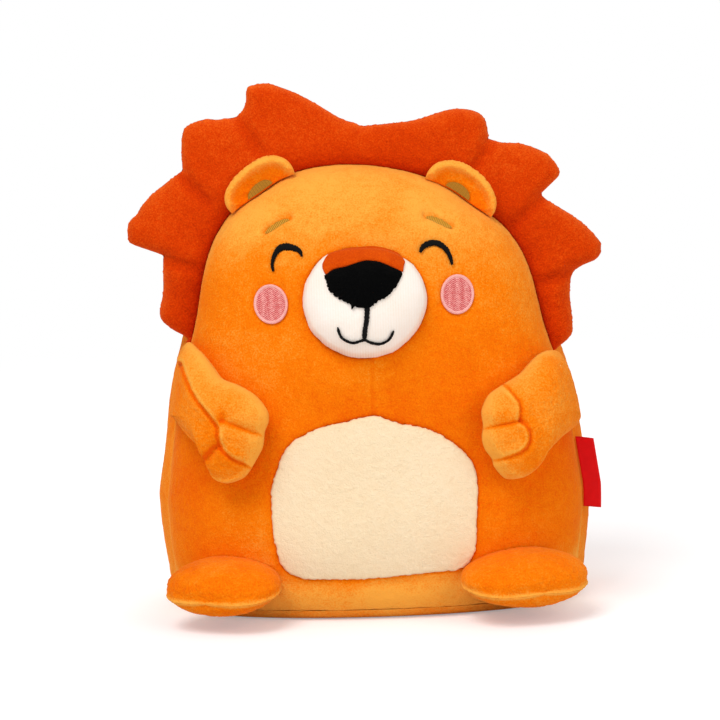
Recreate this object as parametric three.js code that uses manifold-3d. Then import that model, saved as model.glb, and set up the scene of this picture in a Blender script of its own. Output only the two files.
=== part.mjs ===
// A seated plush lion: pile cloth panels sewn over a stuffed body, with a padded mane caught in the seam.
// Millimetres, +Z up, the face towards -Y, the origin on the floor under the middle of the base.
import * as THREE from "three";
import Module from "manifold-3d";
import { mergeVertices } from "three/addons/utils/BufferGeometryUtils.js";

const wasm = await Module();
wasm.setup();

// Body: a dome of cloth, as wide as it is tall, on a flat base
const bodyHalfWidth = 96; // middle to side seam at the widest height
const bodyHeight = 203;
const widestHeight = 52;
const baseSeamHeight = 5; // the panels turn under before they meet the base
const frontBulge = 47; // how far the front panel stands before its seam
const backBulge = 32;
const frontSeamBack = -24; // where the front seam would meet the floor, along y
const frontSeamLean = 14; // how far that seam leans back up to the crown
const gussetWidth = 40;
const gussetNarrowing = 10;
const gussetBulge = 4.8;
const baseCornerReach = 12;
const baseCornerHeight = 18;
const headTaperShare = 0.222;
const headTilt = 0.1; // rise of the crown for each millimetre to the left
const neckNip = 3.7;
const neckHeight = 135;
const neckSpan = 26;
const earDent = 5; // how far the ears' seams pull the outline in
const earDentHeight = 189;
const earDentSpan = 7;
const baseTuckShare = 0.03;
const frontTuckShare = 0.12;
const domePower = 5.8;
const bulgePower = 4;
const crownPower = 0.8;

// Cloth and fill
const cloth = 1.9; // pile cloth, backing and pile together
const trimCloth = 1.4; // thinner cloth of the ears, arms, feet and mane
const seamGap = 0.35;
const fillClearance = 1.1;
const thread = 0.9; // height of satin stitching
const tiny = 1e-3; // step for slopes, as a share

// Pellet pouch in the base
const pouchRadius = 44;
const pouchThickness = 20;
const pouchDepthShare = 0.75;

// Muzzle
const muzzleRise = 11;
const muzzleCentreShares = [-0.02, 0.71];

// Mane
const maneReach = 50;
const manePuff = 5.2;
const maneLean = 0.22;

// Ears
const earHeight = 15.4;
const earPuff = 1.8;
const earForward = 7.9;
const earCup = 2.6;
const earHalfSpanShare = 0.089;
const earLeftPlace = 0.768; // up the seam, from the base to the crown
const earRightPlace = 0.791;

// Arms
const armReach = 77;
const armThickness = 24;
const armClearance = 0.8;

// Feet
const footReach = 31;
const footHalfHeight = 12.5;
const footLeftHalfWidth = 26.3;
const footRightHalfWidth = 29;
const footMiddle = 20.5;
const footSeat = 10; // below this height the foot stands straight down from the body's skin
const footGap = 0.5;
const footLeftTurnShare = 0.5;
const footRightTurnShare = 0.475;

// Label
const labelWidth = 9;
const labelTape = 0.5;
const labelTopShare = 0.37;
const labelFootShare = 0.209;

// Tail
const tailRadius = 6.2;
const tailTuftRadius = 11.5;
const tailRootShare = 0.33;
const tailLength = 62;

const orange = new THREE.Color(0.9, 0.36, 0.03);
const rust = new THREE.Color(0.72, 0.1, 0.02);
const cream = new THREE.Color(0.94, 0.78, 0.52);
const white = new THREE.Color(0.9, 0.85, 0.76);
const black = new THREE.Color(0.015, 0.013, 0.013);
const darkOrange = new THREE.Color(0.7, 0.16, 0.02);
const pink = new THREE.Color(0.72, 0.22, 0.25);
const olive = new THREE.Color(0.5, 0.32, 0.05);
const red = new THREE.Color(0.65, 0.01, 0.02);
const fillWhite = new THREE.Color(0.85, 0.85, 0.83);
const calico = new THREE.Color(0.75, 0.7, 0.6);

// Outlines. A body outline point is [share of the half width, share of the height].
const bellyShares = [
  [-0.009, 0.465], [0.074, 0.457], [0.226, 0.436], [0.35, 0.405], [0.445, 0.362], [0.478, 0.321],
  [0.479, 0.268], [0.471, 0.202], [0.447, 0.155], [0.385, 0.118], [0.31, 0.108], [0.22, 0.105],
  [0.08, 0.1], [-0.084, 0.098], [-0.224, 0.099], [-0.364, 0.104], [-0.446, 0.13], [-0.475, 0.175],
  [-0.487, 0.227], [-0.49, 0.282], [-0.478, 0.322], [-0.412, 0.395], [-0.312, 0.428], [-0.162, 0.454],
];
const muzzleShares = [
  [-0.008, 0.829], [0.079, 0.823], [0.147, 0.809], [0.201, 0.793], [0.249, 0.76], [0.27, 0.715],
  [0.25, 0.675], [0.204, 0.64], [0.143, 0.614], [0.078, 0.599], [-0.011, 0.592], [-0.096, 0.595],
  [-0.175, 0.611], [-0.24, 0.635], [-0.29, 0.672], [-0.311, 0.71], [-0.308, 0.736], [-0.286, 0.768],
  [-0.252, 0.793], [-0.173, 0.821], [-0.099, 0.828],
];
const noseShares = [
  [-0.194, 0.764], [-0.154, 0.775], [-0.102, 0.78], [-0.058, 0.785], [-0.011, 0.79], [0.041, 0.787],
  [0.092, 0.778], [0.144, 0.765], [0.133, 0.749], [0.11, 0.733], [0.079, 0.717], [0.044, 0.708],
  [-0.003, 0.698], [-0.042, 0.697], [-0.075, 0.701], [-0.105, 0.708], [-0.13, 0.715], [-0.159, 0.727],
  [-0.176, 0.74], [-0.185, 0.752],
];
const bridgeShares = [
  [-0.19, 0.79], [-0.13, 0.808], [-0.05, 0.814], [0.02, 0.814], [0.09, 0.806], [0.15, 0.787],
];
const mouthLineShares = [
  [-0.01, 0.694], [-0.015, 0.671], [-0.023, 0.651], [-0.027, 0.629],
];
const mouthCurveShares = [
  [-0.142, 0.659], [-0.136, 0.646], [-0.112, 0.631], [-0.069, 0.625], [-0.025, 0.63], [-0.003, 0.625],
  [0.032, 0.621], [0.08, 0.629], [0.103, 0.648],
];
const eyeLeftShares = [
  [-0.446, 0.783], [-0.45, 0.798], [-0.44, 0.815], [-0.423, 0.828], [-0.401, 0.835], [-0.373, 0.836],
  [-0.343, 0.833], [-0.32, 0.827], [-0.309, 0.815],
];
const eyeRightShares = [
  [0.244, 0.815], [0.259, 0.826], [0.283, 0.832], [0.311, 0.834], [0.339, 0.83], [0.366, 0.82],
  [0.381, 0.808], [0.39, 0.797], [0.394, 0.785],
];
const browLeftShares = [
  [-0.482, 0.866], [-0.445, 0.876], [-0.412, 0.885], [-0.364, 0.895],
];
const browRightShares = [
  [0.28, 0.89], [0.308, 0.886], [0.345, 0.878], [0.403, 0.865],
];
const cheekLeftShares = [-0.462, 0.712];
const cheekRightShares = [0.414, 0.721];
const cheekHalfWidth = 7.6;
const cheekHalfHeight = 8.7;

// The mane's rim, from its left foot over the crown to its right foot.
// Each row is [place up the seam from the base to the crown, reach past the seam].
const maneLeftShares = [
  [0.4, 0.055], [0.408, 0.055], [0.418, 0.239], [0.436, 0.347], [0.484, 0.355], [0.54, 0.403],
  [0.548, 0.431], [0.552, 0.699], [0.556, 0.755], [0.562, 0.775], [0.576, 0.799], [0.586, 0.787],
  [0.594, 0.755], [0.614, 0.731], [0.668, 0.607], [0.676, 0.623], [0.694, 0.815], [0.7, 0.859],
  [0.706, 0.875], [0.736, 0.831], [0.778, 0.751], [0.802, 0.691], [0.818, 0.747], [0.826, 0.851],
  [0.832, 0.879], [0.852, 0.851], [0.87, 0.775], [0.944, 0.455], [0.978, 0.379],
];
const maneRightShares = [
  [1, 0.359], [0.926, 0.463], [0.872, 0.655], [0.84, 0.727], [0.82, 0.711], [0.802, 0.599],
  [0.792, 0.583], [0.702, 0.747], [0.686, 0.759], [0.672, 0.735], [0.665, 0.679], [0.661, 0.451],
  [0.584, 0.643], [0.554, 0.711], [0.548, 0.707], [0.536, 0.675], [0.529, 0.615], [0.525, 0.467],
  [0.514, 0.371], [0.48, 0.315], [0.402, 0.235], [0.38, 0.039],
];

// An arm's outline is [share of the arm's reach along the chest from the seam, share of the body's height].
const armLeftShares = [
  [0.029, 0.455], [0.029, 0.55], [0.117, 0.592], [0.326, 0.608], [0.481, 0.597], [0.568, 0.583],
  [0.639, 0.566], [0.721, 0.543], [0.837, 0.53], [0.933, 0.51], [0.996, 0.481], [1.007, 0.458],
  [0.99, 0.435], [0.982, 0.402], [0.947, 0.37], [0.901, 0.338], [0.845, 0.325], [0.794, 0.321],
  [0.735, 0.33], [0.701, 0.36], [0.67, 0.387], [0.57, 0.411], [0.42, 0.436], [0.195, 0.45],
];
const armRightShares = [
  [0.029, 0.41], [0.029, 0.52], [0.117, 0.56], [0.263, 0.577], [0.41, 0.582], [0.481, 0.582],
  [0.564, 0.576], [0.645, 0.561], [0.73, 0.541], [0.865, 0.518], [0.939, 0.5], [0.984, 0.468],
  [0.984, 0.435], [0.996, 0.41], [0.987, 0.384], [0.957, 0.361], [0.948, 0.342], [0.908, 0.318],
  [0.87, 0.313], [0.803, 0.315], [0.736, 0.33], [0.706, 0.349], [0.663, 0.362], [0.601, 0.377],
  [0.505, 0.392], [0.352, 0.402], [0.2, 0.405],
];
const armCentreShares = [0.62, 0.46];
const armRootShare = 0.17; // thickness left at the seam
const armSwellShare = 0.74; // how far along the reach the arm is full
const armSeamShare = 0.4; // height of the arm's own seam over the chest

// Body surfaces. A place on the front or back panel is a height share v and a turn from -1 to 1.
const quarterTurn = Math.PI / 2;

function heightAt(v) {
  return baseSeamHeight + (bodyHeight - baseSeamHeight) * Math.sin(v * quarterTurn);
}

function placeAtHeight(z) {
  const share = (z - baseSeamHeight) / (bodyHeight - baseSeamHeight);
  return Math.asin(Math.min(1, Math.max(0, share))) / quarterTurn;
}

// Share of the way from the widest height up to the crown, and down to where the panels turn under.
function riseAt(z) {
  return THREE.MathUtils.clamp((z - widestHeight) / (bodyHeight - widestHeight), 0, 1);
}

function sinkAt(z) {
  return THREE.MathUtils.clamp((widestHeight - z) / (widestHeight - baseCornerHeight), 0, 1);
}

// How far the rounded lower edge has drawn in at a height.
function cornerInsetAt(z) {
  const share = THREE.MathUtils.clamp((baseCornerHeight - z) / baseCornerHeight, 0, 1);
  return baseCornerReach * (1 - Math.sqrt(1 - share ** 2));
}

const hollowAt = (z, depth, height, span) => depth * Math.exp(-(((z - height) / span) ** 2));

function halfWidthAt(z) {
  const rise = riseAt(z);
  const full = bodyHalfWidth * (1 - headTaperShare * rise) * (1 - baseTuckShare * sinkAt(z) ** 2);
  const neck = hollowAt(z, neckNip, neckHeight, neckSpan);
  const ears = hollowAt(z, earDent, earDentHeight, earDentSpan);
  return (full - neck - ears) * Math.sqrt(1 - rise ** domePower) - cornerInsetAt(z);
}

function bulgeAt(z, bulge) {
  const tuck = 1 - frontTuckShare * sinkAt(z) ** 2;
  return bulge * tuck * Math.sqrt(1 - riseAt(z) ** bulgePower) - cornerInsetAt(z);
}

// The head tilts: a point of the drawn, upright level z moves down with its x.
const tiltDrop = (x, z) => headTilt * x * riseAt(z) ** 2;

const tiltRounds = 6;

// The upright level whose tilted place has this x and height.
function levelAt(x, height) {
  let level = height;
  for (let i = 0; i < tiltRounds; i += 1) level = Math.min(bodyHeight, height + tiltDrop(x, level));
  return level;
}

function frontSeamY(z) {
  return frontSeamBack + (frontSeamLean * z) / bodyHeight;
}

function backSeamY(z) {
  return frontSeamY(z) + gussetWidth - (gussetNarrowing * z) / bodyHeight;
}

// A point of the front (face -1) or back (face 1) panel's outer surface.
function skinPoint(v, turn, face) {
  const z = heightAt(v);
  const angle = turn * quarterTurn;
  const depth = bulgeAt(z, face < 0 ? frontBulge : backBulge) * Math.max(0, Math.cos(angle)) ** crownPower;
  const seamY = face < 0 ? frontSeamY(z) : backSeamY(z);
  const x = halfWidthAt(z) * Math.sin(angle);
  return new THREE.Vector3(x, seamY + face * depth, z - tiltDrop(x, z));
}

function skinNormal(v, turn, face) {
  if (v >= 1) return new THREE.Vector3(headTilt, 0, 1).normalize();
  const inner = Math.min(Math.max(turn, tiny - 1), 1 - tiny);
  const lowV = Math.max(0, Math.min(v, 1 - 2 * tiny) - tiny);
  const up = skinPoint(lowV + 2 * tiny, inner, face).sub(skinPoint(lowV, inner, face));
  const across = skinPoint(v, inner + tiny / 2, face).sub(skinPoint(v, inner - tiny / 2, face));
  return across.cross(up).multiplyScalar(-face).normalize();
}

function skinAt(v, turn, face, offset) {
  return skinPoint(v, turn, face).addScaledVector(skinNormal(v, turn, face), offset);
}

// The seam's outline in the XZ plane with its outward normal, for the side -1 (left) or 1 (right).
function seamAt(side, v) {
  const pointAt = (place) => {
    const level = heightAt(place);
    const x = side * halfWidthAt(level);
    return new THREE.Vector2(x, level - tiltDrop(x, level));
  };
  const low = pointAt(Math.max(0, Math.min(v, 1 - tiny) - tiny));
  const along = v < 1 ? pointAt(Math.min(1, v + tiny)).sub(low) : new THREE.Vector2(-side, side * headTilt);
  const point = pointAt(v);
  along.normalize();
  return { x: point.x, z: point.y, outX: side * along.y, outZ: -side * along.x };
}

function pastSeam(side, v, reach, y) {
  const seam = seamAt(side, v);
  return new THREE.Vector3(seam.x + seam.outX * reach, y, seam.z + seam.outZ * reach);
}

function gussetPoint(side, v, across, offset) {
  const z = heightAt(v);
  const start = frontSeamY(z) + seamGap;
  const width = backSeamY(z) - frontSeamY(z) - 2 * seamGap;
  const bulge = 4 * gussetBulge * across * (1 - across);
  const point = pastSeam(side, v, bulge + offset, start + width * across);
  return point.setZ(Math.max(point.z, baseSeamHeight));
}

// A place over the front surface by x and z, for the face and the belly.
function facePoint(point, offset) {
  const level = levelAt(point.x, point.y);
  const sine = THREE.MathUtils.clamp(point.x / halfWidthAt(level), -1, 1);
  return skinAt(placeAtHeight(level), Math.asin(sine) / quarterTurn, -1, offset);
}

// Closed bodies

// Merges equal vertices, drops collapsed triangles and turns the faces outwards.
function solidFrom(positions, indices) {
  const raw = new THREE.BufferGeometry();
  raw.setAttribute("position", new THREE.Float32BufferAttribute(positions, 3));
  raw.setIndex(indices);
  const merged = mergeVertices(raw, tiny);
  const index = merged.index.array;
  const p = merged.attributes.position;
  const kept = [];
  const a = new THREE.Vector3();
  const b = new THREE.Vector3();
  const c = new THREE.Vector3();
  let volume = 0;
  for (let i = 0; i < index.length; i += 3) {
    const [i0, i1, i2] = [index[i], index[i + 1], index[i + 2]];
    if (i0 === i1 || i1 === i2 || i2 === i0) continue;
    kept.push(i0, i1, i2);
    a.fromBufferAttribute(p, i0);
    b.fromBufferAttribute(p, i1);
    c.fromBufferAttribute(p, i2);
    volume += a.dot(b.cross(c));
  }
  if (volume < 0) kept.reverse();
  merged.setIndex(kept);
  return merged;
}

// Rings of equal count joined in order; each end closes on a pole.
function loft(rings, firstPole, lastPole) {
  const count = rings[0].length;
  const points = [...rings.flat(), firstPole, lastPole];
  const indices = [];
  const first = rings.length * count;
  const last = first + 1;
  for (let i = 0; i < count; i += 1) {
    const j = (i + 1) % count;
    indices.push(first, j, i);
    for (let r = 0; r + 1 < rings.length; r += 1) {
      const low = r * count;
      const high = low + count;
      indices.push(low + i, low + j, high + j, low + i, high + j, high + i);
    }
    const top = (rings.length - 1) * count;
    indices.push(top + i, top + j, last);
  }
  return solidFrom(points.flatMap((point) => point.toArray()), indices);
}

// Cloth between two surfaces, each given over u and v from 0 to 1.
function sheet(columns, rows, outer, inner) {
  const positions = [];
  const indices = [];
  const wide = columns + 1;
  const layer = wide * (rows + 1);
  for (const surface of [outer, inner]) {
    for (let r = 0; r <= rows; r += 1) {
      for (let c = 0; c <= columns; c += 1) positions.push(...surface(c / columns, r / rows).toArray());
    }
  }
  const quad = (p, q, r, s) => indices.push(p, q, r, p, r, s);
  for (let r = 0; r < rows; r += 1) {
    for (let c = 0; c < columns; c += 1) {
      const i = r * wide + c;
      quad(i, i + 1, i + 1 + wide, i + wide);
      quad(layer + i, layer + i + wide, layer + i + 1 + wide, layer + i + 1);
    }
  }
  for (let c = 0; c < columns; c += 1) {
    const top = rows * wide + c;
    quad(c, layer + c, layer + c + 1, c + 1);
    quad(top, top + 1, layer + top + 1, layer + top);
  }
  for (let r = 0; r < rows; r += 1) {
    const left = r * wide;
    const right = left + columns;
    quad(left, left + wide, layer + left + wide, layer + left);
    quad(right, layer + right, layer + right + wide, right + wide);
  }
  return solidFrom(positions, indices);
}

function smoothOutline(points, count) {
  const curve = new THREE.CatmullRomCurve3(
    points.map((point) => new THREE.Vector3(point.x, point.y, 0)),
    true,
    "centripetal",
  );
  return Array.from({ length: count }, (_, i) => {
    const point = curve.getPoint(i / count);
    return new THREE.Vector2(point.x, point.y);
  });
}

// A dished piece over an outline: outer and inner give heights by ring scale, and the inner rings are inset.
function dish(outline, centre, scales, outer, inner, insetShare, place) {
  const ring = (scale, height, inset) =>
    outline.map((point) => {
      const at = centre.clone().lerp(point, scale * (1 - inset));
      return place(at, height(scale, at));
    });
  const rings = [
    ...scales.map((scale) => ring(scale, outer, 0)),
    ...[...scales].reverse().map((scale) => ring(scale, inner, insetShare)),
  ];
  return loft(rings, place(centre, outer(0, centre)), place(centre, inner(0, centre)));
}

function meanRadius(outline, centre) {
  return outline.reduce((sum, point) => sum + point.distanceTo(centre), 0) / outline.length;
}

// A raised satin line along a path, tapering to both ends.
const strokeTaperPower = 0.5;
const strokeProfileShares = [[-1, 0], [-0.72, 0.78], [0, 1], [0.72, 0.78], [1, 0], [0, -0.05]];

function stroke(path, steps, halfWidth, base, height, place) {
  const curve = new THREE.CatmullRomCurve3(path.map((point) => new THREE.Vector3(point.x, point.y, 0)));
  const rings = [];
  for (let i = 1; i < steps; i += 1) {
    const share = i / steps;
    const at = curve.getPoint(share);
    const tangent = curve.getTangent(share);
    const width = halfWidth * Math.sin(Math.PI * share) ** strokeTaperPower;
    rings.push(
      strokeProfileShares.map(([across, up]) => {
        const x = at.x - tangent.y * across * width;
        const y = at.y + tangent.x * across * width;
        return place(new THREE.Vector2(x, y), base + height * up);
      }),
    );
  }
  const end = (share) => {
    const at = curve.getPoint(share);
    return place(new THREE.Vector2(at.x, at.y), base + height / 4);
  };
  return loft(rings, end(0), end(1));
}

function manifoldOf(geometry) {
  return new wasm.Manifold(
    new wasm.Mesh({
      numProp: 3,
      vertProperties: new Float32Array(geometry.attributes.position.array),
      triVerts: new Uint32Array(geometry.index.array),
    }),
  );
}

function geometryOf(manifold) {
  const mesh = manifold.getMesh();
  const geometry = new THREE.BufferGeometry();
  geometry.setAttribute("position", new THREE.BufferAttribute(new Float32Array(mesh.vertProperties), 3));
  geometry.setIndex(new THREE.BufferAttribute(new Uint32Array(mesh.triVerts), 1));
  return geometry;
}

function meshOf(name, geometry, color, roughness) {
  const material = new THREE.MeshStandardMaterial({ color, roughness, metalness: 0 });
  geometry.computeVertexNormals();
  const mesh = new THREE.Mesh(geometry, material);
  mesh.name = name;
  return mesh;
}

const pileRoughness = 0.95;
const threadRoughness = 0.5;
const fillRoughness = 1;
const calicoRoughness = 0.9;
const tapeRoughness = 0.45;

// Body panels

// The rows of a panel up the seam, closer together at the base and the crown.
const rowShares = [
  0, 0.014, 0.032, 0.06, 0.1, 0.16, 0.23, 0.31, 0.39, 0.47, 0.55, 0.63, 0.7, 0.77, 0.83, 0.885, 0.93, 0.97, 1,
];
const rowCount = rowShares.length - 1;
const rowAt = (share) => rowShares[Math.round(share * rowCount)];
const frontColumns = 20;
const backColumns = 16;
const gussetColumns = 4;

function facePanel(name, face, columns) {
  const surface = (offset) => (u, share) => skinAt(rowAt(share), 2 * u - 1, face, offset);
  return meshOf(name, sheet(columns, rowCount, surface(0), surface(-cloth)), orange, pileRoughness);
}

function gusset(name, side) {
  const margin = seamGap / bodyHeight; // keeps the two gussets apart at the crown seam
  const surface = (offset) => (u, share) => gussetPoint(side, rowAt(share) * (1 - 2 * margin), u, offset);
  return meshOf(name, sheet(gussetColumns, rowCount, surface(0), surface(-cloth)), orange, pileRoughness);
}

// One level of the whole body: front, right gusset, back and left gusset in order round.
const frontSteps = 12;
const gussetSteps = 3;

function bodyRing(v, offset) {
  const ring = [];
  for (let i = 0; i <= frontSteps; i += 1) ring.push(skinAt(v, (2 * i) / frontSteps - 1, -1, offset));
  for (let i = 1; i < gussetSteps; i += 1) ring.push(gussetPoint(1, v, i / gussetSteps, offset));
  for (let i = 0; i <= frontSteps; i += 1) ring.push(skinAt(v, 1 - (2 * i) / frontSteps, 1, offset));
  for (let i = 1; i < gussetSteps; i += 1) ring.push(gussetPoint(-1, v, 1 - i / gussetSteps, offset));
  return ring;
}

// The rounded lower edge goes on from the base seam (turn 0) to the floor (turn 1).
const seamAngle = Math.asin((baseCornerHeight - baseSeamHeight) / baseCornerHeight);

function baseRing(turn, offset) {
  const angle = seamAngle + (quarterTurn - seamAngle) * turn;
  const inset = baseCornerReach * (Math.cos(seamAngle) - Math.cos(angle));
  const height = baseCornerHeight * (1 - Math.sin(angle));
  const outer = bodyRing(0, 0);
  return outer.map((point, i) => {
    const before = outer[(i + outer.length - 1) % outer.length];
    const after = outer[(i + 1) % outer.length];
    const out = new THREE.Vector3(after.y - before.y, before.x - after.x, 0).normalize();
    const moved = point.clone().addScaledVector(out, offset * Math.cos(angle) - inset);
    return moved.setZ(height - offset * Math.sin(angle));
  });
}

const baseTurnShares = [0, 0.4, 0.7, 1];

function basePanel() {
  const middle = (frontSeamY(0) + backSeamY(0)) / 2;
  const drop = (ring) => ring.map((point) => point.setZ(Math.min(point.z, baseSeamHeight - seamGap)));
  const outer = baseTurnShares.map((turn) => drop(baseRing(turn, 0)));
  const inner = baseTurnShares.map((turn) => drop(baseRing(turn, -cloth)));
  const rings = [...outer.reverse(), ...inner];
  const geometry = loft(rings, new THREE.Vector3(0, middle, 0), new THREE.Vector3(0, middle, cloth));
  return meshOf("base_panel", geometry, orange, pileRoughness);
}

const pouchPower = 0.6;

function pouchGeometry(radius, low, high) {
  const half = (high - low) / 2;
  const profile = [];
  const steps = 6;
  for (let i = 0; i <= steps; i += 1) {
    const angle = -quarterTurn + (Math.PI * i) / steps;
    profile.push(new THREE.Vector2(radius * Math.cos(angle) ** pouchPower, low + half * (1 + Math.sin(angle))));
  }
  profile[0].x = 0;
  profile[steps].x = 0;
  const geometry = new THREE.LatheGeometry(profile, 20);
  geometry.deleteAttribute("normal");
  geometry.deleteAttribute("uv");
  geometry.rotateX(quarterTurn);
  geometry.scale(1, pouchDepthShare, 1);
  geometry.translate(0, (frontSeamY(0) + backSeamY(0)) / 2, 0);
  return solidFrom([...geometry.attributes.position.array], [...geometry.index.array]);
}

const fillLevelShares = [0, 0.016, 0.04, 0.09, 0.16, 0.26, 0.38, 0.5, 0.62, 0.72, 0.8, 0.87, 0.94, 1];

function bodyFill() {
  const inset = cloth + fillClearance;
  const rings = [baseRing(1, -inset), ...fillLevelShares.map((v) => bodyRing(v, -inset))];
  const middle = (frontSeamY(0) + backSeamY(0)) / 2;
  const crown = rings[rings.length - 1];
  const lastPole = crown[frontSteps / 2].clone().lerp(crown[frontSteps + gussetSteps + frontSteps / 2], 0.5);
  const whole = manifoldOf(loft(rings, new THREE.Vector3(0, middle, inset), lastPole));
  const under = cloth + seamGap;
  const pocket = pouchGeometry(pouchRadius, under - seamGap, under + pouchThickness + seamGap);
  const hollowed = geometryOf(whole.subtract(manifoldOf(pocket)));
  return meshOf("body_stuffing", hollowed, fillWhite, fillRoughness);
}

function pelletPouch() {
  const floor = cloth + seamGap;
  const geometry = pouchGeometry(pouchRadius - cloth, floor, floor + pouchThickness);
  return meshOf("pellet_pouch", geometry, calico, calicoRoughness);
}

// Face and belly

const place2 = ([xShare, zShare]) => new THREE.Vector2(xShare * bodyHalfWidth, zShare * bodyHeight);
const outlineOf = (shares, count) => smoothOutline(shares.map(place2), count);

const domeOf = (scale, power) => Math.sqrt(Math.max(0, 1 - scale ** power));

// The top of a flat piece, thinner towards its edge.
const patchEdgeShare = 0.45;
const patchPower = 6;
const flatTop = (thickness) => (scale) =>
  seamGap + thickness * (patchEdgeShare + (1 - patchEdgeShare) * domeOf(scale, patchPower));
const bellyCentreShares = [0, 0.28];
const bellyRingShares = [0.35, 0.65, 0.9, 1];

function bellyPatch() {
  const outline = outlineOf(bellyShares, 28);
  const centre = place2(bellyCentreShares);
  const geometry = dish(outline, centre, bellyRingShares, flatTop(cloth), () => seamGap, 0, facePoint);
  return meshOf("belly_patch", geometry, cream, pileRoughness);
}

const muzzleCentre = place2(muzzleCentreShares);
const muzzleOutline = outlineOf(muzzleShares, 28);
const muzzleRingShares = [0.35, 0.65, 0.88, 1];
const muzzleFillRingShares = [0.35, 0.65, 0.86, 0.96];
const muzzleDomePower = 2.2;
const muzzleDome = (scale) => domeOf(scale, muzzleDomePower);

// How far out from the muzzle's middle a point lies, as a share of the outline in that direction.
function muzzleScaleAt(point) {
  const away = point.clone().sub(muzzleCentre);
  const corners = muzzleOutline.map((corner) => corner.clone().sub(muzzleCentre));
  const next = (i) => corners[(i + 1) % corners.length];
  const i = corners.findIndex((corner, k) => corner.cross(away) <= 0 && away.cross(next(k)) < 0);
  if (i < 0) return 0;
  const edge = next(i).clone().sub(corners[i]);
  return Math.min(1, away.cross(edge) / corners[i].cross(edge));
}

function muzzleHeight(point) {
  return seamGap + cloth + muzzleRise * muzzleDome(muzzleScaleAt(point));
}

const onMuzzle = (point, offset) => facePoint(point, muzzleHeight(point) + offset);

function muzzlePanel() {
  const outer = (scale) => seamGap + cloth + muzzleRise * muzzleDome(scale);
  const inner = (scale) => seamGap + muzzleRise * muzzleDome(scale);
  const insetShare = cloth / meanRadius(muzzleOutline, muzzleCentre);
  const geometry = dish(muzzleOutline, muzzleCentre, muzzleRingShares, outer, inner, insetShare, facePoint);
  return meshOf("muzzle_panel", geometry, white, pileRoughness);
}

function muzzleFill() {
  const insetShare = (cloth + fillClearance) / meanRadius(muzzleOutline, muzzleCentre);
  const outline = muzzleOutline.map((point) => muzzleCentre.clone().lerp(point, 1 - insetShare));
  const top = (scale) => seamGap + fillClearance / 4 + (muzzleRise - fillClearance) * muzzleDome(scale);
  const geometry = dish(outline, muzzleCentre, muzzleFillRingShares, top, () => seamGap, 0, facePoint);
  return meshOf("muzzle_stuffing", geometry, fillWhite, fillRoughness);
}

const noseCentreShares = [-0.02, 0.745];
const noseRingShares = [0.5, 0.85, 1];

function nosePatch() {
  const outline = outlineOf(noseShares, 24);
  const geometry = dish(outline, place2(noseCentreShares), noseRingShares, flatTop(cloth), () => seamGap, 0,
    onMuzzle);
  return meshOf("nose_patch", geometry, black, pileRoughness);
}

const bridgeHalfWidth = 3.6;
const mouthLineHalfWidth = 1.1;
const mouthCurveHalfWidth = 0.7;
const eyeHalfWidth = 1.6;
const browHalfWidth = 1.3;

function bridgePanel() {
  const geometry = stroke(bridgeShares.map(place2), 12, bridgeHalfWidth, 2 * seamGap, cloth, onMuzzle);
  return meshOf("nose_bridge_panel", geometry, darkOrange, pileRoughness);
}

function mouthStitching() {
  const line = stroke(mouthLineShares.map(place2), 6, mouthLineHalfWidth, seamGap, thread, onMuzzle);
  const curve = stroke(mouthCurveShares.map(place2), 14, mouthCurveHalfWidth, seamGap, thread, onMuzzle);
  const joined = manifoldOf(line).add(manifoldOf(curve));
  return meshOf("mouth_stitching", geometryOf(joined), black, threadRoughness);
}

function satinLine(name, shares, halfWidth, color) {
  const geometry = stroke(shares.map(place2), 10, halfWidth, seamGap, thread, facePoint);
  return meshOf(name, geometry, color, threadRoughness);
}

const cheekCorners = 18;
const cheekRingShares = [0.6, 1];

function cheek(name, shares) {
  const centre = place2(shares);
  const outline = Array.from({ length: cheekCorners }, (_, i) => {
    const angle = (i / cheekCorners) * 2 * Math.PI;
    return new THREE.Vector2(
      centre.x + cheekHalfWidth * Math.cos(angle),
      centre.y + cheekHalfHeight * Math.sin(angle),
    );
  });
  const geometry = dish(outline, centre, cheekRingShares, flatTop(thread), () => seamGap, 0, facePoint);
  return meshOf(name, geometry, pink, threadRoughness);
}

// Mane: two sheets sewn together along the rim, with wadding between them

// Places past 1 run down the right side. Long steps between two rows are divided.
const maneRows = [
  ...maneLeftShares.map(([v, reach]) => ({ place: v, reach: reach * maneReach })),
  ...maneRightShares.map(([v, reach]) => ({ place: 2 - v, reach: reach * maneReach })),
];
const maneStepShare = 0.02;
const maneStart = { place: maneRows[0].place - maneStepShare / 2, reach: maneRows[0].reach };

function spokesTo(next, before) {
  const count = Math.ceil((next.place - before.place) / maneStepShare - tiny);
  return Array.from({ length: count }, (_, i) => {
    const share = (i + 1) / count;
    const place = THREE.MathUtils.lerp(before.place, next.place, share);
    const reach = THREE.MathUtils.lerp(before.reach, next.reach, share);
    return { side: place <= 1 ? -1 : 1, v: Math.min(place, 2 - place), reach };
  });
}

const maneSpokes = maneRows.flatMap((row, i) => spokesTo(row, i ? maneRows[i - 1] : maneStart));
const maneRoot = 2 * seamGap + trimCloth / 4;

function manePoint(spoke, along, thickness) {
  const reach = maneRoot + spoke.reach * along;
  const y = frontSeamY(heightAt(spoke.v)) + maneLean * reach;
  return pastSeam(spoke.side, spoke.v, reach, y + thickness);
}

// How padded pieces of two sheets fill out between the seam (0) and the rim (1).
const swellPower = 0.8;
const swellAcross = (along) => Math.sin(Math.PI * along ** swellPower) ** swellPower;

function maneSwell(spoke, along) {
  const fullness = Math.min(1, spoke.reach / (maneReach / 2));
  return manePuff * fullness * swellAcross(along);
}

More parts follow.
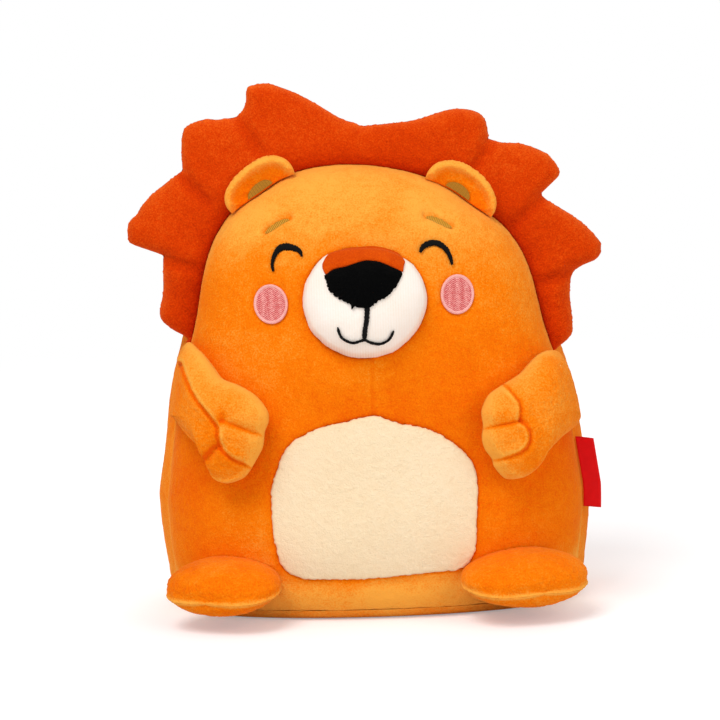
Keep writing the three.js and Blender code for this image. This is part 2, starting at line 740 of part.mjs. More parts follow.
function maneLayer(name, face) {
  const spokeAt = (u) => maneSpokes[Math.round(u * (maneSpokes.length - 1))];
  const surface = (offset) => (u, along) => {
    const spoke = spokeAt(u);
    return manePoint(spoke, along, face * (seamGap / 2 + offset + maneSwell(spoke, along)));
  };
  const geometry = sheet(maneSpokes.length - 1, 4, surface(trimCloth), surface(0));
  return meshOf(name, geometry, rust, pileRoughness);
}

const waddingStart = 5; // spokes left bare at each foot of the mane
const waddingMarginShare = 0.17;

function maneWadding() {
  const spokes = maneSpokes.slice(waddingStart, -waddingStart);
  const surface = (face) => (u, v) => {
    const spoke = spokes[Math.round(u * (spokes.length - 1))];
    const along = waddingMarginShare + (1 - 2 * waddingMarginShare) * v;
    return manePoint(spoke, along, face * (maneSwell(spoke, along) - fillClearance));
  };
  const geometry = sheet(spokes.length - 1, 3, surface(-1), surface(1));
  return meshOf("mane_wadding", geometry, fillWhite, fillRoughness);
}

// Ears: cupped half discs standing before the mane

const earPlaces = [
  { side: -1, name: "left", v: earLeftPlace, patchShare: -0.11 },
  { side: 1, name: "right", v: earRightPlace, patchShare: -0.045 },
];
const earRoot = 2 * seamGap;
const earRimPower = 2.6;
const earEndShare = 0.12; // reach left at the two ends
const earSwellPower = 3;

function earPoint(ear, across, along, thickness) {
  const v = ear.v + across * earHalfSpanShare;
  const rim = earEndShare + (1 - earEndShare) * domeOf(Math.abs(across), earRimPower);
  const y = frontSeamY(heightAt(ear.v)) - earForward - earCup * across ** 2;
  return pastSeam(ear.side, v, earRoot + earHeight * along * rim, y + thickness);
}

function earSwell(across, along) {
  return earPuff * swellAcross(along) * domeOf(Math.abs(across), earSwellPower);
}

function earLayer(ear, layer, face) {
  const surface = (offset) => (u, along) => {
    const across = 2 * u - 1;
    return earPoint(ear, across, along, face * (seamGap / 2 + offset + earSwell(across, along)));
  };
  const geometry = sheet(12, 4, surface(trimCloth), surface(0));
  return meshOf(`ear_${ear.name}_${layer}`, geometry, orange, pileRoughness);
}

const earPatchSpanShare = 0.4;
const earPatchLowShare = 0.05;
const earPatchHighShare = 0.34;

function earPatch(ear) {
  const surface = (offset) => (u, v) => {
    const across = ear.patchShare + (2 * u - 1) * earPatchSpanShare;
    const along = earPatchLowShare + (earPatchHighShare - earPatchLowShare) * v;
    const lift = seamGap / 2 + trimCloth + earSwell(across, along) + seamGap + offset;
    return earPoint(ear, across, along, -lift);
  };
  const geometry = sheet(8, 3, surface(thread), surface(0));
  return meshOf(`ear_${ear.name}_inner_stitching`, geometry, olive, threadRoughness);
}

// Arms: stuffed mittens sewn into the seam, lying on the chest

const armSides = [
  { side: -1, name: "left", shares: armLeftShares },
  { side: 1, name: "right", shares: armRightShares },
];
const chestArcShare = 1.2;
const chestArc = chestArcShare * bodyHalfWidth; // seam to middle along the chest
const armRingShares = [0.38, 0.68, 0.89, 1];
const armFillRingShares = [0.38, 0.66, 0.85, 0.93];
const armDomePower = 2.3;

const armPlace = (side) => (point, offset) =>
  skinAt(placeAtHeight(point.y), side * (1 - point.x / chestArc), -1, offset);

function armPieces({ side, name, shares }) {
  const place = armPlace(side);
  const corner = ([along, up]) => new THREE.Vector2(along * armReach, up * bodyHeight);
  const outline = smoothOutline(shares.map(corner), 26);
  const centre = corner(armCentreShares);
  const radius = meanRadius(outline, centre);
  const full = (at) => {
    const swell = THREE.MathUtils.smoothstep(at.x, 0, armReach * armSwellShare);
    return armThickness * (armRootShare + (1 - armRootShare) * swell);
  };
  const seamHeight = (at) => armClearance + armSeamShare * (full(at) - armClearance);
  const dome = (scale) => domeOf(scale, armDomePower);
  const above = (less) => (scale, at) =>
    seamHeight(at) + seamGap / 2 + (full(at) - seamHeight(at) - less) * dome(scale);
  const below = (less) => (scale, at) =>
    seamHeight(at) - seamGap / 2 - (seamHeight(at) - armClearance - less) * dome(scale);
  const skinShare = trimCloth / radius;
  const fillLess = trimCloth + fillClearance;
  const outerSkin = dish(outline, centre, armRingShares, above(0), above(trimCloth), skinShare, place);
  const palmSkin = dish(outline, centre, armRingShares, below(0), below(trimCloth), skinShare, place);
  const fillOutline = outline.map((point) => centre.clone().lerp(point, 1 - fillLess / radius));
  const fill = dish(fillOutline, centre, armFillRingShares, above(fillLess), below(fillLess), 0, place);
  return [
    meshOf(`arm_${name}_outer_panel`, outerSkin, orange, pileRoughness),
    meshOf(`arm_${name}_palm_panel`, palmSkin, orange, pileRoughness),
    meshOf(`arm_${name}_stuffing`, fill, fillWhite, fillRoughness),
  ];
}

// Feet: stuffed pads sewn on at the lower front corners

const feetSides = [
  { side: -1, name: "left", halfWidth: footLeftHalfWidth, turnShare: footLeftTurnShare },
  { side: 1, name: "right", halfWidth: footRightHalfWidth, turnShare: footRightTurnShare },
];

function footPoint(side, turn, z, forward) {
  const v = placeAtHeight(Math.max(z, footSeat));
  const face = skinPoint(v, side * turn, -1);
  const out = skinNormal(v, side * turn, -1).setZ(0).normalize();
  return face.addScaledVector(out, footGap + forward).setZ(z);
}

const footRootShare = 0.84; // height and width of the foot where it joins the body
const footDropShare = 0.42; // how far the toe's middle sinks below the foot's
const footEndPower = 0.62;

// A point of the foot's surface: along from 0 at the body to 1 at the toe, angle round from the outer side.
function footSurface(foot, along, angle, offset) {
  const arc = along * quarterTurn;
  const end = Math.max(0, Math.cos(arc)) ** footEndPower;
  const swell = footRootShare + (1 - footRootShare) * Math.sin(2 * Math.min(arc, quarterTurn / 2));
  const half = (footHalfHeight + offset) * end * swell;
  const width = (foot.halfWidth + offset) * end * swell;
  const middle = footMiddle - footDropShare * footHalfHeight * Math.sin(arc) ** 2;
  const turn = foot.turnShare + (width * Math.cos(angle)) / chestArc;
  return footPoint(foot.side, turn, middle + half * Math.sin(angle), (footReach + offset) * Math.sin(arc));
}

const soleMarginShare = 0.07; // the sole stays this share of a half turn clear of the two sides
const soleStart = -Math.PI * (1 - soleMarginShare);
const soleEnd = -Math.PI * soleMarginShare;

function footPanel(foot, layer, startAngle, endAngle, columns) {
  const slack = seamGap / foot.halfWidth; // leaves the seam's gap on both edges
  const surface = (offset) => (u, along) =>
    footSurface(foot, along, startAngle + slack + (endAngle - startAngle - 2 * slack) * u, offset);
  const geometry = sheet(columns, 6, surface(0), surface(-trimCloth));
  return meshOf(`foot_${foot.name}_${layer}`, geometry, orange, pileRoughness);
}

const footFillCorners = 16;
const footFillCoreShare = 0.5;
const footFillRingShares = [0.02, 0.12, 0.35, 0.6, 0.82];

function footFill(foot) {
  const inset = -trimCloth - fillClearance;
  const angles = Array.from({ length: footFillCorners }, (_, i) => (2 * Math.PI * i) / footFillCorners);
  const core = angles.map((angle) => {
    const across = (foot.halfWidth + inset) * footFillCoreShare * Math.cos(angle);
    const up = (footHalfHeight + inset) * footFillCoreShare * Math.sin(angle);
    return footPoint(foot.side, foot.turnShare + across / chestArc, footMiddle + up, fillClearance);
  });
  const rings = footFillRingShares.map((along) =>
    angles.map((angle) => footSurface(foot, along, angle, inset)));
  const root = footPoint(foot.side, foot.turnShare, footMiddle, fillClearance);
  const geometry = loft([core, ...rings], root, footSurface(foot, 1, 0, inset));
  return meshOf(`foot_${foot.name}_stuffing`, geometry, fillWhite, fillRoughness);
}

// Label: a folded tape loop caught in the right seam

function sideLabel() {
  const half = labelTape + seamGap;
  const root = 2 * seamGap;
  const fold = [
    [root, -half], [labelWidth - half, -half], [labelWidth, 0], [labelWidth - half, half], [root, half],
    [root, half - labelTape], [labelWidth - half - labelTape / 2, half - labelTape],
    [labelWidth - labelTape, 0], [labelWidth - half - labelTape / 2, labelTape - half],
    [root, labelTape - half],
  ];
  const steps = 4;
  const positions = [];
  const indices = [];
  for (let i = 0; i <= steps; i += 1) {
    const z = bodyHeight * (labelFootShare + ((labelTopShare - labelFootShare) * i) / steps);
    const y = frontSeamY(z) - half - seamGap;
    for (const [reach, across] of fold) {
      positions.push(...pastSeam(1, placeAtHeight(z), reach, y + across).toArray());
    }
  }
  const count = fold.length;
  for (let i = 0; i < steps; i += 1) {
    for (let k = 0; k < count; k += 1) {
      const a = i * count + k;
      const b = i * count + ((k + 1) % count);
      indices.push(a, b, b + count, a, b + count, a + count);
    }
  }
  const section = fold.map(([reach, across]) => new THREE.Vector2(reach, across));
  for (const [p, q, r] of THREE.ShapeUtils.triangulateShape(section, [])) {
    const top = steps * count;
    indices.push(r, q, p, top + p, top + q, top + r);
  }
  return meshOf("side_label", solidFrom(positions, indices), red, tapeRoughness);
}

// Tail: a short stuffed cord of cloth with a tuft, hanging down the back

// The tail's path: [share of its clearance behind the body, share of its length down from the root].
const tailPathShares = [[0, 0], [0.75, 0.03], [1.15, 0.35], [1, 0.85]];
const tailCorners = 12;

function tailGeometry(radiusAt, start, end, steps) {
  const rootZ = tailRootShare * bodyHeight;
  const rootY = skinPoint(placeAtHeight(rootZ), 0, 1).y + 2 * seamGap;
  const clear = tailTuftRadius + seamGap;
  const path = new THREE.CatmullRomCurve3(
    tailPathShares.map(([back, down]) => new THREE.Vector3(0, rootY + clear * back, rootZ - tailLength * down)),
  );
  const rings = [];
  for (let i = 0; i <= steps; i += 1) {
    const share = start + ((end - start) * i) / steps;
    const at = path.getPointAt(share);
    const tangent = path.getTangentAt(share);
    const normal = new THREE.Vector3(0, -tangent.z, tangent.y);
    const radius = radiusAt(i / steps);
    rings.push(
      Array.from({ length: tailCorners }, (_, k) => {
        const angle = (2 * Math.PI * k) / tailCorners;
        const across = new THREE.Vector3(radius * Math.cos(angle), 0, 0);
        return at.clone().add(across).addScaledVector(normal, radius * Math.sin(angle));
      }),
    );
  }
  return loft(rings, path.getPointAt(start), path.getPointAt(end));
}

const tailTaperShare = 0.25;
const tuftStartShare = 0.52;
const tuftNeckShare = 0.4; // the tuft's thickness where it begins
const tuftTipShare = 0.6; // how much it narrows at the tip
const tuftTipPower = 4;

function tuftRadius(share) {
  const swell = tuftNeckShare + (1 - tuftNeckShare) * Math.sin(Math.PI * share ** swellPower);
  return tailTuftRadius * swell * (1 - tuftTipShare * share ** tuftTipPower);
}

function tail() {
  const gapShare = seamGap / tailLength;
  const cordRadius = (share) => tailRadius * (1 - tailTaperShare * share);
  return [
    meshOf("tail_cord", tailGeometry(cordRadius, gapShare, tuftStartShare - gapShare, 6), orange, pileRoughness),
    meshOf("tail_tuft", tailGeometry(tuftRadius, tuftStartShare, 1, 6), rust, pileRoughness),
  ];
}

function groupOf(...meshes) {
  const group = new THREE.Group();
  group.add(...meshes);
  return group;
}

const body = groupOf(
  facePanel("front_panel", -1, frontColumns),
  facePanel("back_panel", 1, backColumns),
  gusset("gusset_left", -1),
  gusset("gusset_right", 1),
  basePanel(),
  bodyFill(),
  pelletPouch(),
  bellyPatch(),
  sideLabel(),
);
const face = groupOf(
  muzzlePanel(),
  muzzleFill(),
  bridgePanel(),
  nosePatch(),
  mouthStitching(),
  satinLine("eye_stitching_left", eyeLeftShares, eyeHalfWidth, black),
  satinLine("eye_stitching_right", eyeRightShares, eyeHalfWidth, black),
  satinLine("brow_stitching_left", browLeftShares, browHalfWidth, olive),
  satinLine("brow_stitching_right", browRightShares, browHalfWidth, olive),
  cheek("cheek_stitching_left", cheekLeftShares),
  cheek("cheek_stitching_right", cheekRightShares),
);
const mane = groupOf(maneLayer("mane_front_layer", -1), maneLayer("mane_back_layer", 1), maneWadding());
const ears = groupOf(
  ...earPlaces.flatMap((ear) => [earLayer(ear, "front_panel", -1), earLayer(ear, "back_panel", 1), earPatch(ear)]),
);
const arms = groupOf(...armSides.flatMap(armPieces));
const feet = groupOf(
  ...feetSides.flatMap((foot) => [
    footPanel(foot, "top_panel", soleEnd, soleStart + 2 * Math.PI, 12),
    footPanel(foot, "sole_panel", soleStart, soleEnd, 8),
    footFill(foot),
  ]),
);
const lion = groupOf(body, face, mane, ears, arms, feet, groupOf(...tail()));

export default lion;
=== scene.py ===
import math

import bmesh
import bpy
import numpy as np
from mathutils import Matrix, Vector


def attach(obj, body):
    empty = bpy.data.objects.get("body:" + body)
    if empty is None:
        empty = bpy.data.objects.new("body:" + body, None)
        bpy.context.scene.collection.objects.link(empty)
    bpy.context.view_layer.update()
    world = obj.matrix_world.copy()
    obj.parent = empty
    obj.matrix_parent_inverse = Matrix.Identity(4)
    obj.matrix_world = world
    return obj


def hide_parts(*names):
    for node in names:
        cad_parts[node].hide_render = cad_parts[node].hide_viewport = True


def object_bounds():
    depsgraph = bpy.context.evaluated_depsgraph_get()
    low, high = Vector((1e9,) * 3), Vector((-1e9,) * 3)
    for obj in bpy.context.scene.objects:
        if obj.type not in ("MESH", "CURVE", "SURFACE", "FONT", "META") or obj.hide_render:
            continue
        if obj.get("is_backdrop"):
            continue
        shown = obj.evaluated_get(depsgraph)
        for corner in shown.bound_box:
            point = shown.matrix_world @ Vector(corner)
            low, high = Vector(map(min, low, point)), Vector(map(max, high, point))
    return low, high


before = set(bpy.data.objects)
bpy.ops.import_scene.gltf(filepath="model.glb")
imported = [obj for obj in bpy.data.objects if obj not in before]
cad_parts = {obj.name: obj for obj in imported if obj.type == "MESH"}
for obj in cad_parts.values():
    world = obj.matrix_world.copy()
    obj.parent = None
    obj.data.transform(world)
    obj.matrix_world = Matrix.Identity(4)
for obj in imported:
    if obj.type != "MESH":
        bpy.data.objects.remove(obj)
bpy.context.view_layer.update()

# Front and back panels: the two big faces of the body, cut from short-pile knitted plush and
# sewn right sides together, so each edge turns in at its seam. The face and belly are sewn to
# the front one before the body is closed.
mm = 0.001
half_width, height, widest, base_seam = 96 * mm, 203 * mm, 52 * mm, 5 * mm
front_bulge, back_bulge = 47 * mm, 32 * mm
seam_back, seam_lean = -24 * mm, 14 * mm
gusset_width, gusset_narrowing = 40 * mm, 10 * mm
corner_reach, corner_height = 12 * mm, 18 * mm
head_taper, head_tilt, base_tuck, front_tuck = 0.222, 0.1, 0.03, 0.12
hollows = ((3.7 * mm, 135 * mm, 26 * mm), (5 * mm, 189 * mm, 7 * mm))
dome_power, bulge_power, crown_power = 5.8, 4, 0.8
cloth, thin_cloth, gap, lining = 1.9 * mm, 1.4 * mm, 0.35 * mm, 0.3 * mm
big_swell, small_swell, big_swell_size, small_swell_size = 1.2, 0.45, 46 * mm, 17 * mm
tuft_depth, fluff_depth, tuft_size, fluff_size = 0.11, 0.1, 1.9 * mm, 0.9 * mm
pucker_reach, pucker_size, pucker_depth, seam_pull = 5 * mm, 6 * mm, 0.25, 0.35
wave_depth, wave_size, wave_ease = 0.5 * mm, 22 * mm, 15 * mm
seam_roll, floor_roll = 0.5 * mm, 0.1 * mm
slope = 1e-3

belly_shares = [
    (-9, 465), (74, 457), (226, 436), (350, 405), (445, 362), (478, 321), (479, 268), (471, 202),
    (457, 148), (404, 115), (319, 108), (220, 106), (80, 101), (-84, 98), (-224, 99), (-364, 104),
    (-446, 130), (-475, 175), (-487, 227), (-490, 282), (-478, 322), (-412, 395), (-312, 428), (-162, 454),
]
muzzle_shares = [
    (-8, 827), (79, 822), (147, 809), (201, 793), (223, 781), (249, 760), (265, 736), (270, 715),
    (262, 690), (237, 662), (204, 640), (166, 623), (120, 607), (78, 599), (18, 593), (-41, 592),
    (-96, 595), (-150, 605), (-200, 618), (-240, 635), (-275, 653), (-296, 677), (-308, 698), (-312, 719),
    (-308, 736), (-295, 760), (-276, 776), (-252, 793), (-219, 809), (-173, 821), (-99, 827),
]
eye_left_shares = [
    (-446, 783), (-450, 798), (-440, 815), (-423, 828), (-401, 835), (-373, 836), (-343, 833), (-320, 827),
    (-309, 815),
]
eye_right_shares = [
    (244, 815), (259, 826), (283, 832), (311, 834), (339, 830), (366, 820), (381, 808), (390, 797),
    (394, 785),
]
brow_left_shares = [(-482, 866), (-445, 876), (-412, 885), (-388, 891), (-364, 895)]
brow_right_shares = [(280, 890), (308, 886), (345, 878), (377, 870), (403, 865)]
chin_shares = [(-23, 601), (-27, 535), (-22, 474)]
cheek_left_share, cheek_right_share = (-462, 712), (414, 721)
cheek_half_width, cheek_half_height = 7.6 * mm, 8.73 * mm


def place(shares):
    """Points in metres from thousandths of the half width and of the height."""
    return np.asarray(shares, float) / 1000 * (half_width, height)


def smooth(x, low=0.0, high=1.0):
    """A smooth step: 3t^2 - 2t^3, where t runs from 0 at low to 1 at high."""
    t = np.clip((x - low) / (high - low), 0, 1)
    return t * t * (3 - 2 * t)


def bell(x, width):
    """A bell: e to the power of minus the square of x over the width."""
    return np.exp(-((x / width) ** 2))


def fade(x, length):
    """A fade: e to the power of minus x over the length."""
    return np.exp(-x / length)


def curve(points, count, closed=False):
    """count points evenly spaced along the Catmull-Rom curve through the given ones: each span is the
    cubic whose slopes at its ends are half the step between their neighbours, walked by its length."""
    p = np.asarray(points, float)
    if closed:
        ring = np.vstack([p[-1:], p, p[:2]])
    else:
        ring = np.vstack([2 * p[:1] - p[1:2], p, 2 * p[-1:] - p[-2:-1]])
    spans = len(ring) - 3
    t = np.linspace(0, spans, spans * 40 + 1)
    i = np.minimum(t.astype(int), spans - 1)
    f = (t - i)[:, None]
    a, b, c, d = ring[i], ring[i + 1], ring[i + 2], ring[i + 3]
    dense = b + 0.5 * ((c - a) * f + (2 * a - 5 * b + 4 * c - d) * f**2 + (3 * b - a - 3 * c + d) * f**3)
    run = np.concatenate([[0], np.cumsum(np.linalg.norm(np.diff(dense, axis=0), axis=1))])
    even = np.linspace(0, run[-1], count + closed)[:count]
    return np.stack([np.interp(even, run, dense[:, k]) for k in range(p.shape[1])], -1)


def apart(points, line, closed=False):
    """Least distance from each point in the plane to a line of segments. With closed, the line is an
    outline and the distance is negative inside it, by counting the segments crossed to one side."""
    a = np.asarray(line, float)
    b = np.roll(a, -1, 0)
    if not closed:
        a, b = a[:-1], b[:-1]
    flat = points.reshape(-1, 2)
    out = np.empty(len(flat))
    step = b - a
    size = np.maximum((step**2).sum(1), 1e-18)
    for start in range(0, len(flat), 4000):
        p = flat[start : start + 4000, None, :]
        t = np.clip(((p - a) * step).sum(2) / size, 0, 1)
        d = np.sqrt((((a + t[..., None] * step) - p) ** 2).sum(2).min(1))
        if closed:
            over = (a[:, 1] > p[..., 1]) != (b[:, 1] > p[..., 1])
            rise = np.where(step[:, 1] == 0, 1e-18, step[:, 1])
            x = a[:, 0] + (p[..., 1] - a[:, 1]) * step[:, 0] / rise
            d = np.where((over & (p[..., 0] < x)).sum(1) % 2 == 1, -d, d)
        out[start : start + 4000] = d
    return out.reshape(points.shape[:-1])


def lumps(points, size, seed):
    """Smooth random lumps from -1 to 1: a random value at each corner of a cubic lattice with cells of
    the given size, blended inside each cell by smooth steps of the three coordinates."""
    p = np.asarray(points, float) / size + 31.7 * seed
    cell = np.floor(p).astype(np.int64)
    f = p - cell
    f = f * f * (3 - 2 * f)
    total = np.zeros(p.shape[:-1])
    for corner in np.ndindex(2, 2, 2):
        c = cell + corner
        h = (c[..., 0] * 73856093) ^ (c[..., 1] * 19349663) ^ (c[..., 2] * 83492791) ^ (seed * 2654435)
        h = ((h ^ (h >> 13)) * 1274126177) & 0xFFFFFFFF
        h = ((h ^ (h >> 15)) * 668265263) & 0xFFFFFFFF
        w = np.prod(np.where(corner, f, 1 - f), axis=-1)
        total += w * (((h ^ (h >> 16)) & 0xFFFF) / 32767.5 - 1)
    return total


def height_at(v):
    """Height of a place v up the body: a sine from the base seam to the crown."""
    return base_seam + (height - base_seam) * np.sin(v * np.pi / 2)


def rise_at(z):
    """Share of the way from the widest height up to the crown."""
    return np.clip((z - widest) / (height - widest), 0, 1)


def sink_at(z):
    """Share of the way from the widest height down to where the panels turn under."""
    return np.clip((widest - z) / (widest - corner_height), 0, 1)


def corner_inset(z):
    """How far the lower edge has drawn in: a quarter ellipse from the corner's height to the floor."""
    return corner_reach * (1 - np.sqrt(1 - np.clip((corner_height - z) / corner_height, 0, 1) ** 2))


def half_width_at(z):
    """Half width: a taper less bell-shaped hollows at the neck and the ears, times a dome above the
    widest height; a square tuck below it, less the corner's inset."""
    rise = rise_at(z)
    hollow = sum(depth * bell(z - level, span) for depth, level, span in hollows)
    full = half_width * (1 - head_taper * rise) * (1 - base_tuck * sink_at(z) ** 2) - hollow
    return full * np.sqrt(1 - rise**dome_power) - corner_inset(z)


def bulge_at(z, bulge):
    """Depth of a panel's middle before its seam: a fourth-power dome above, a square tuck below."""
    return bulge * (1 - front_tuck * sink_at(z) ** 2) * np.sqrt(1 - rise_at(z) ** bulge_power) - corner_inset(z)


def tilt_drop(x, z):
    """The head tilts: places of the upright form's level z move down with x and the square of the rise."""
    return head_tilt * x * rise_at(z) ** 2


def front_seam_y(z):
    """The front seam leans back in proportion to its height."""
    return seam_back + seam_lean * z / height


def back_seam_y(z):
    """The back seam stands the gusset's width behind the front one."""
    return front_seam_y(z) + gusset_width - gusset_narrowing * z / height


def panel(v, turn, face):
    """The drawn form: x is the half width times the sine of the turn, y leaves the seam by the bulge
    times the cosine of the turn to the crown power, and the tilt moves the level z down with x."""
    z = height_at(v)
    angle = turn * np.pi / 2
    depth = bulge_at(z, front_bulge if face < 0 else back_bulge) * np.clip(np.cos(angle), 0, 1) ** crown_power
    x = half_width_at(z) * np.sin(angle)
    y = (front_seam_y(z) if face < 0 else back_seam_y(z)) + face * depth
    return np.stack(np.broadcast_arrays(x, y, z - tilt_drop(x, z)), -1)


def panel_normal(v, turn, face):
    """Outward normal of the drawn form, the cross product of its two small steps."""
    v, turn = np.broadcast_arrays(v, turn)
    turn = np.clip(turn, slope - 1, 1 - slope)
    low = np.maximum(0, np.minimum(v, 1 - 2 * slope) - slope)
    up = panel(low + 2 * slope, turn, face) - panel(low, turn, face)
    level = np.minimum(v, 1 - slope)
    across = panel(level, turn + slope / 2, face) - panel(level, turn - slope / 2, face)
    n = np.cross(across, up) * -face
    n = n / np.maximum(np.linalg.norm(n, axis=-1, keepdims=True), 1e-12)
    n[v >= 1] = np.array([head_tilt, 0, 1]) / math.hypot(head_tilt, 1)
    return n


def skin(v, turn, face, lift=0.0):
    """The stuffed panel: the drawn form with slow lumps that die out at its seams, lifted along its
    normal."""
    v, turn = np.broadcast_arrays(v, turn)
    p = panel(v, turn, face)
    ease = smooth(1 - np.abs(turn), 0, 0.16) * smooth(v, 0, 0.1) * smooth(1 - v, 0, 0.12)
    swell = (big_swell * lumps(p, big_swell_size, 1) + small_swell * lumps(p, small_swell_size, 2)) * mm * ease
    return p + panel_normal(v, turn, face) * (lift + swell)[..., None]


def rolled(d, r=seam_roll):
    """An edge turned in at a seam: a quarter circle of radius r that ends level at distance r."""
    return np.sqrt(r**2 - (r - np.clip(d, 0, r)) ** 2) - r


def pile(points, amount=1.0):
    """Uneven pile: two sizes of lumps, a tenth of a millimetre each."""
    return amount * (tuft_depth * lumps(points, tuft_size, 5) + fluff_depth * lumps(points, fluff_size, 6)) * mm


def spread(count, fine=8):
    """count steps from 0 to 1 whose first and last few grow from a fifth of the usual size."""
    size = np.ones(count)
    size[:fine] = np.linspace(0.2, 1, fine)
    size[-fine:] = size[:fine][::-1]
    return np.concatenate([[0], np.cumsum(size) / size.sum()])


def edge_distance(grid, axis):
    """Distance along a grid's lines from their first point."""
    run = np.cumsum(np.linalg.norm(np.diff(grid, axis=axis), axis=-1), axis=axis)
    return np.concatenate([np.zeros_like(np.take(run, [0], axis)), run], axis=axis)


def shade(r, g, b):
    """A colour as the screen shows it, 0 to 255, made linear by the sRGB curve."""
    c = np.array([r, g, b]) / 255
    return (*np.where(c <= 0.04045, c / 12.92, ((c + 0.055) / 1.055) ** 2.4), 1.0)


def put(name, data):
    """A new object of the scene that shows the data."""
    made = bpy.data.objects.new(name, data)
    bpy.context.scene.collection.objects.link(made)
    return made


def mesh_piece(name, points, faces, finish, seam=None):
    """A closed mesh from points and faces, its equal points joined and its faces turned outwards where
    its signed volume says otherwise. seam is a value at each point that the finish reads, mostly painted
    shade and painted highlight."""
    mesh = bpy.data.meshes.new(name)
    mesh.from_pydata(points.tolist(), [], [face for rows in faces for face in rows.tolist()])
    if seam is not None:
        mesh.attributes.new("seam", "FLOAT", "POINT").data.foreach_set("value", seam.astype(np.float32).ravel())
    work = bmesh.new()
    work.from_mesh(mesh)
    bmesh.ops.remove_doubles(work, verts=work.verts, dist=2e-6)
    if work.calc_volume(signed=True) < 0:
        bmesh.ops.reverse_faces(work, faces=work.faces)
    work.to_mesh(mesh)
    work.free()
    mesh.polygons.foreach_set("use_smooth", [True] * len(mesh.polygons))
    mesh.materials.append(finish)
    return put(name, mesh)


def grid_faces(rows, columns, first=0, turned=False):
    """Corner numbers of a grid's quads."""
    r, c = np.meshgrid(np.arange(rows - 1), np.arange(columns - 1), indexing="ij")
    i = (first + r * columns + c).ravel()
    quads = np.stack([i, i + 1, i + 1 + columns, i + columns], -1)
    return quads[:, ::-1] if turned else quads


def border(rows, columns, first, step):
    """Numbers of a grid's border points in order round it, in runs of step, each run ending where the
    next begins."""
    number = first + np.arange(rows * columns).reshape(rows, columns)
    loop = np.concatenate([number[0, :-1], number[:-1, -1], number[-1, :0:-1], number[:0:-1, 0]])
    loop = np.append(loop, loop[0])
    return np.stack([loop[k : len(loop) - step + k : step] for k in range(step + 1)], -1)


def cloth_sheet(name, outer, inner, finish, seam=None, step=4):
    """Cloth between a fine outer grid and an inner one with every step-th point, joined all round by
    faces that each take one coarse edge and the fine edges over it."""
    rows, columns = outer.shape[:2]
    few = inner[::step, ::step]
    first = rows * columns
    rim = np.hstack([border(rows, columns, 0, step)[:, ::-1], border(*few.shape[:2], first, 1)])
    points = np.vstack([outer.reshape(-1, 3), few.reshape(-1, 3)])
    faces = [grid_faces(rows, columns), grid_faces(*few.shape[:2], first, turned=True), rim]
    marks = None if seam is None else np.concatenate([seam.ravel(), np.zeros(few.size // 3)])
    return mesh_piece(name, points, faces, finish, marks)


class Wire:
    """A node's output whose sums, differences and products add their own Math nodes."""

    def __init__(self, finish, socket):
        self.finish, self.socket = finish, socket

    def math(self, operation, a, b):
        """One Math node of two values or wires."""
        return self.finish.add("ShaderNodeMath", {"operation": operation}, {0: a, 1: b})

    def __add__(self, other):
        return self.math("ADD", self, other)

    def __sub__(self, other):
        return self.math("SUBTRACT", self, other)

    def __rsub__(self, other):
        return self.math("SUBTRACT", other, self)

    def __mul__(self, other):
        return self.math("MULTIPLY", self, other)

    __radd__, __rmul__ = __add__, __mul__


class Finish:
    """One material, its patterns in object coordinates. add() makes a node from its type, its settings
    and its sockets' values or links."""

    def __init__(self, name):
        self.material = bpy.data.materials.new(name)
        self.material.use_nodes = True
        self.tree = self.material.node_tree
        self.tree.nodes.clear()
        self.at = self.add("ShaderNodeTexCoord", out="Object")

    def add(self, kind, settings=None, sockets=None, out=0):
        node = self.tree.nodes.new(kind)
        for key, value in (settings or {}).items():
            setattr(node, key, value)
        for key, value in (sockets or {}).items():
            if isinstance(value, Wire):
                self.tree.links.new(value.socket, node.inputs[key])
            else:
                node.inputs[key].default_value = value
        return Wire(self, node.outputs[out])

    def mark(self):
        """The value that a piece's mesh holds at each point, mostly painted shade and painted highlight."""
        return self.add("ShaderNodeAttribute", {"attribute_name": "seam"}, out="Fac")

    def noise(self, scale, detail=2.0, roughness=0.5, distortion=0.0):
        """Soft noise from 0 to 1, its lumps about one over the scale in size."""
        values = {"Vector": self.at, "Scale": scale, "Detail": detail, "Roughness": roughness,
                  "Distortion": distortion}
        return self.add("ShaderNodeTexNoise", {"noise_dimensions": "3D"}, values)

    def wave(self, direction, scale, distortion, more=()):
        """Sine bands across a direction, bent by the distortion."""
        values = {"Vector": self.at, "Scale": scale, "Distortion": distortion, **dict(more)}
        return self.add("ShaderNodeTexWave", {"bands_direction": direction}, values, 1)

    def ramp(self, value, *stops):
        """The colour that a value picks between the stops, each a place from 0 to 1 and a screen colour."""
        colour = self.add("ShaderNodeValToRGB", {}, {"Fac": value})
        elements = colour.socket.node.color_ramp.elements
        while len(elements) < len(stops):
            elements.new(0.5)
        for element, (position, tone) in zip(elements, stops):
            element.position, element.color = position, shade(*tone)
        return colour

    def surface(self, colour, height, depth, roughness, sheen=0.0, tint=(255, 255, 255), specular=0.2,
                sheen_roughness=0.5):
        """A surface of this colour and roughness that the height raises by the depth, with a sheen."""
        bump = self.add("ShaderNodeBump", {}, {"Height": height, "Distance": depth, "Strength": 1.0})
        shader = self.add("ShaderNodeBsdfPrincipled", {}, {
            "Base Color": colour, "Roughness": roughness, "Sheen Weight": sheen, "Sheen Tint": shade(*tint),
            "Sheen Roughness": sheen_roughness, "Specular IOR Level": specular, "Normal": bump})
        return self.finished(shader)

    def finished(self, shader):
        """The material, with the shader as its surface."""
        out = self.tree.nodes.new("ShaderNodeOutputMaterial")
        self.tree.links.new(shader.socket, out.inputs["Surface"])
        return self.material


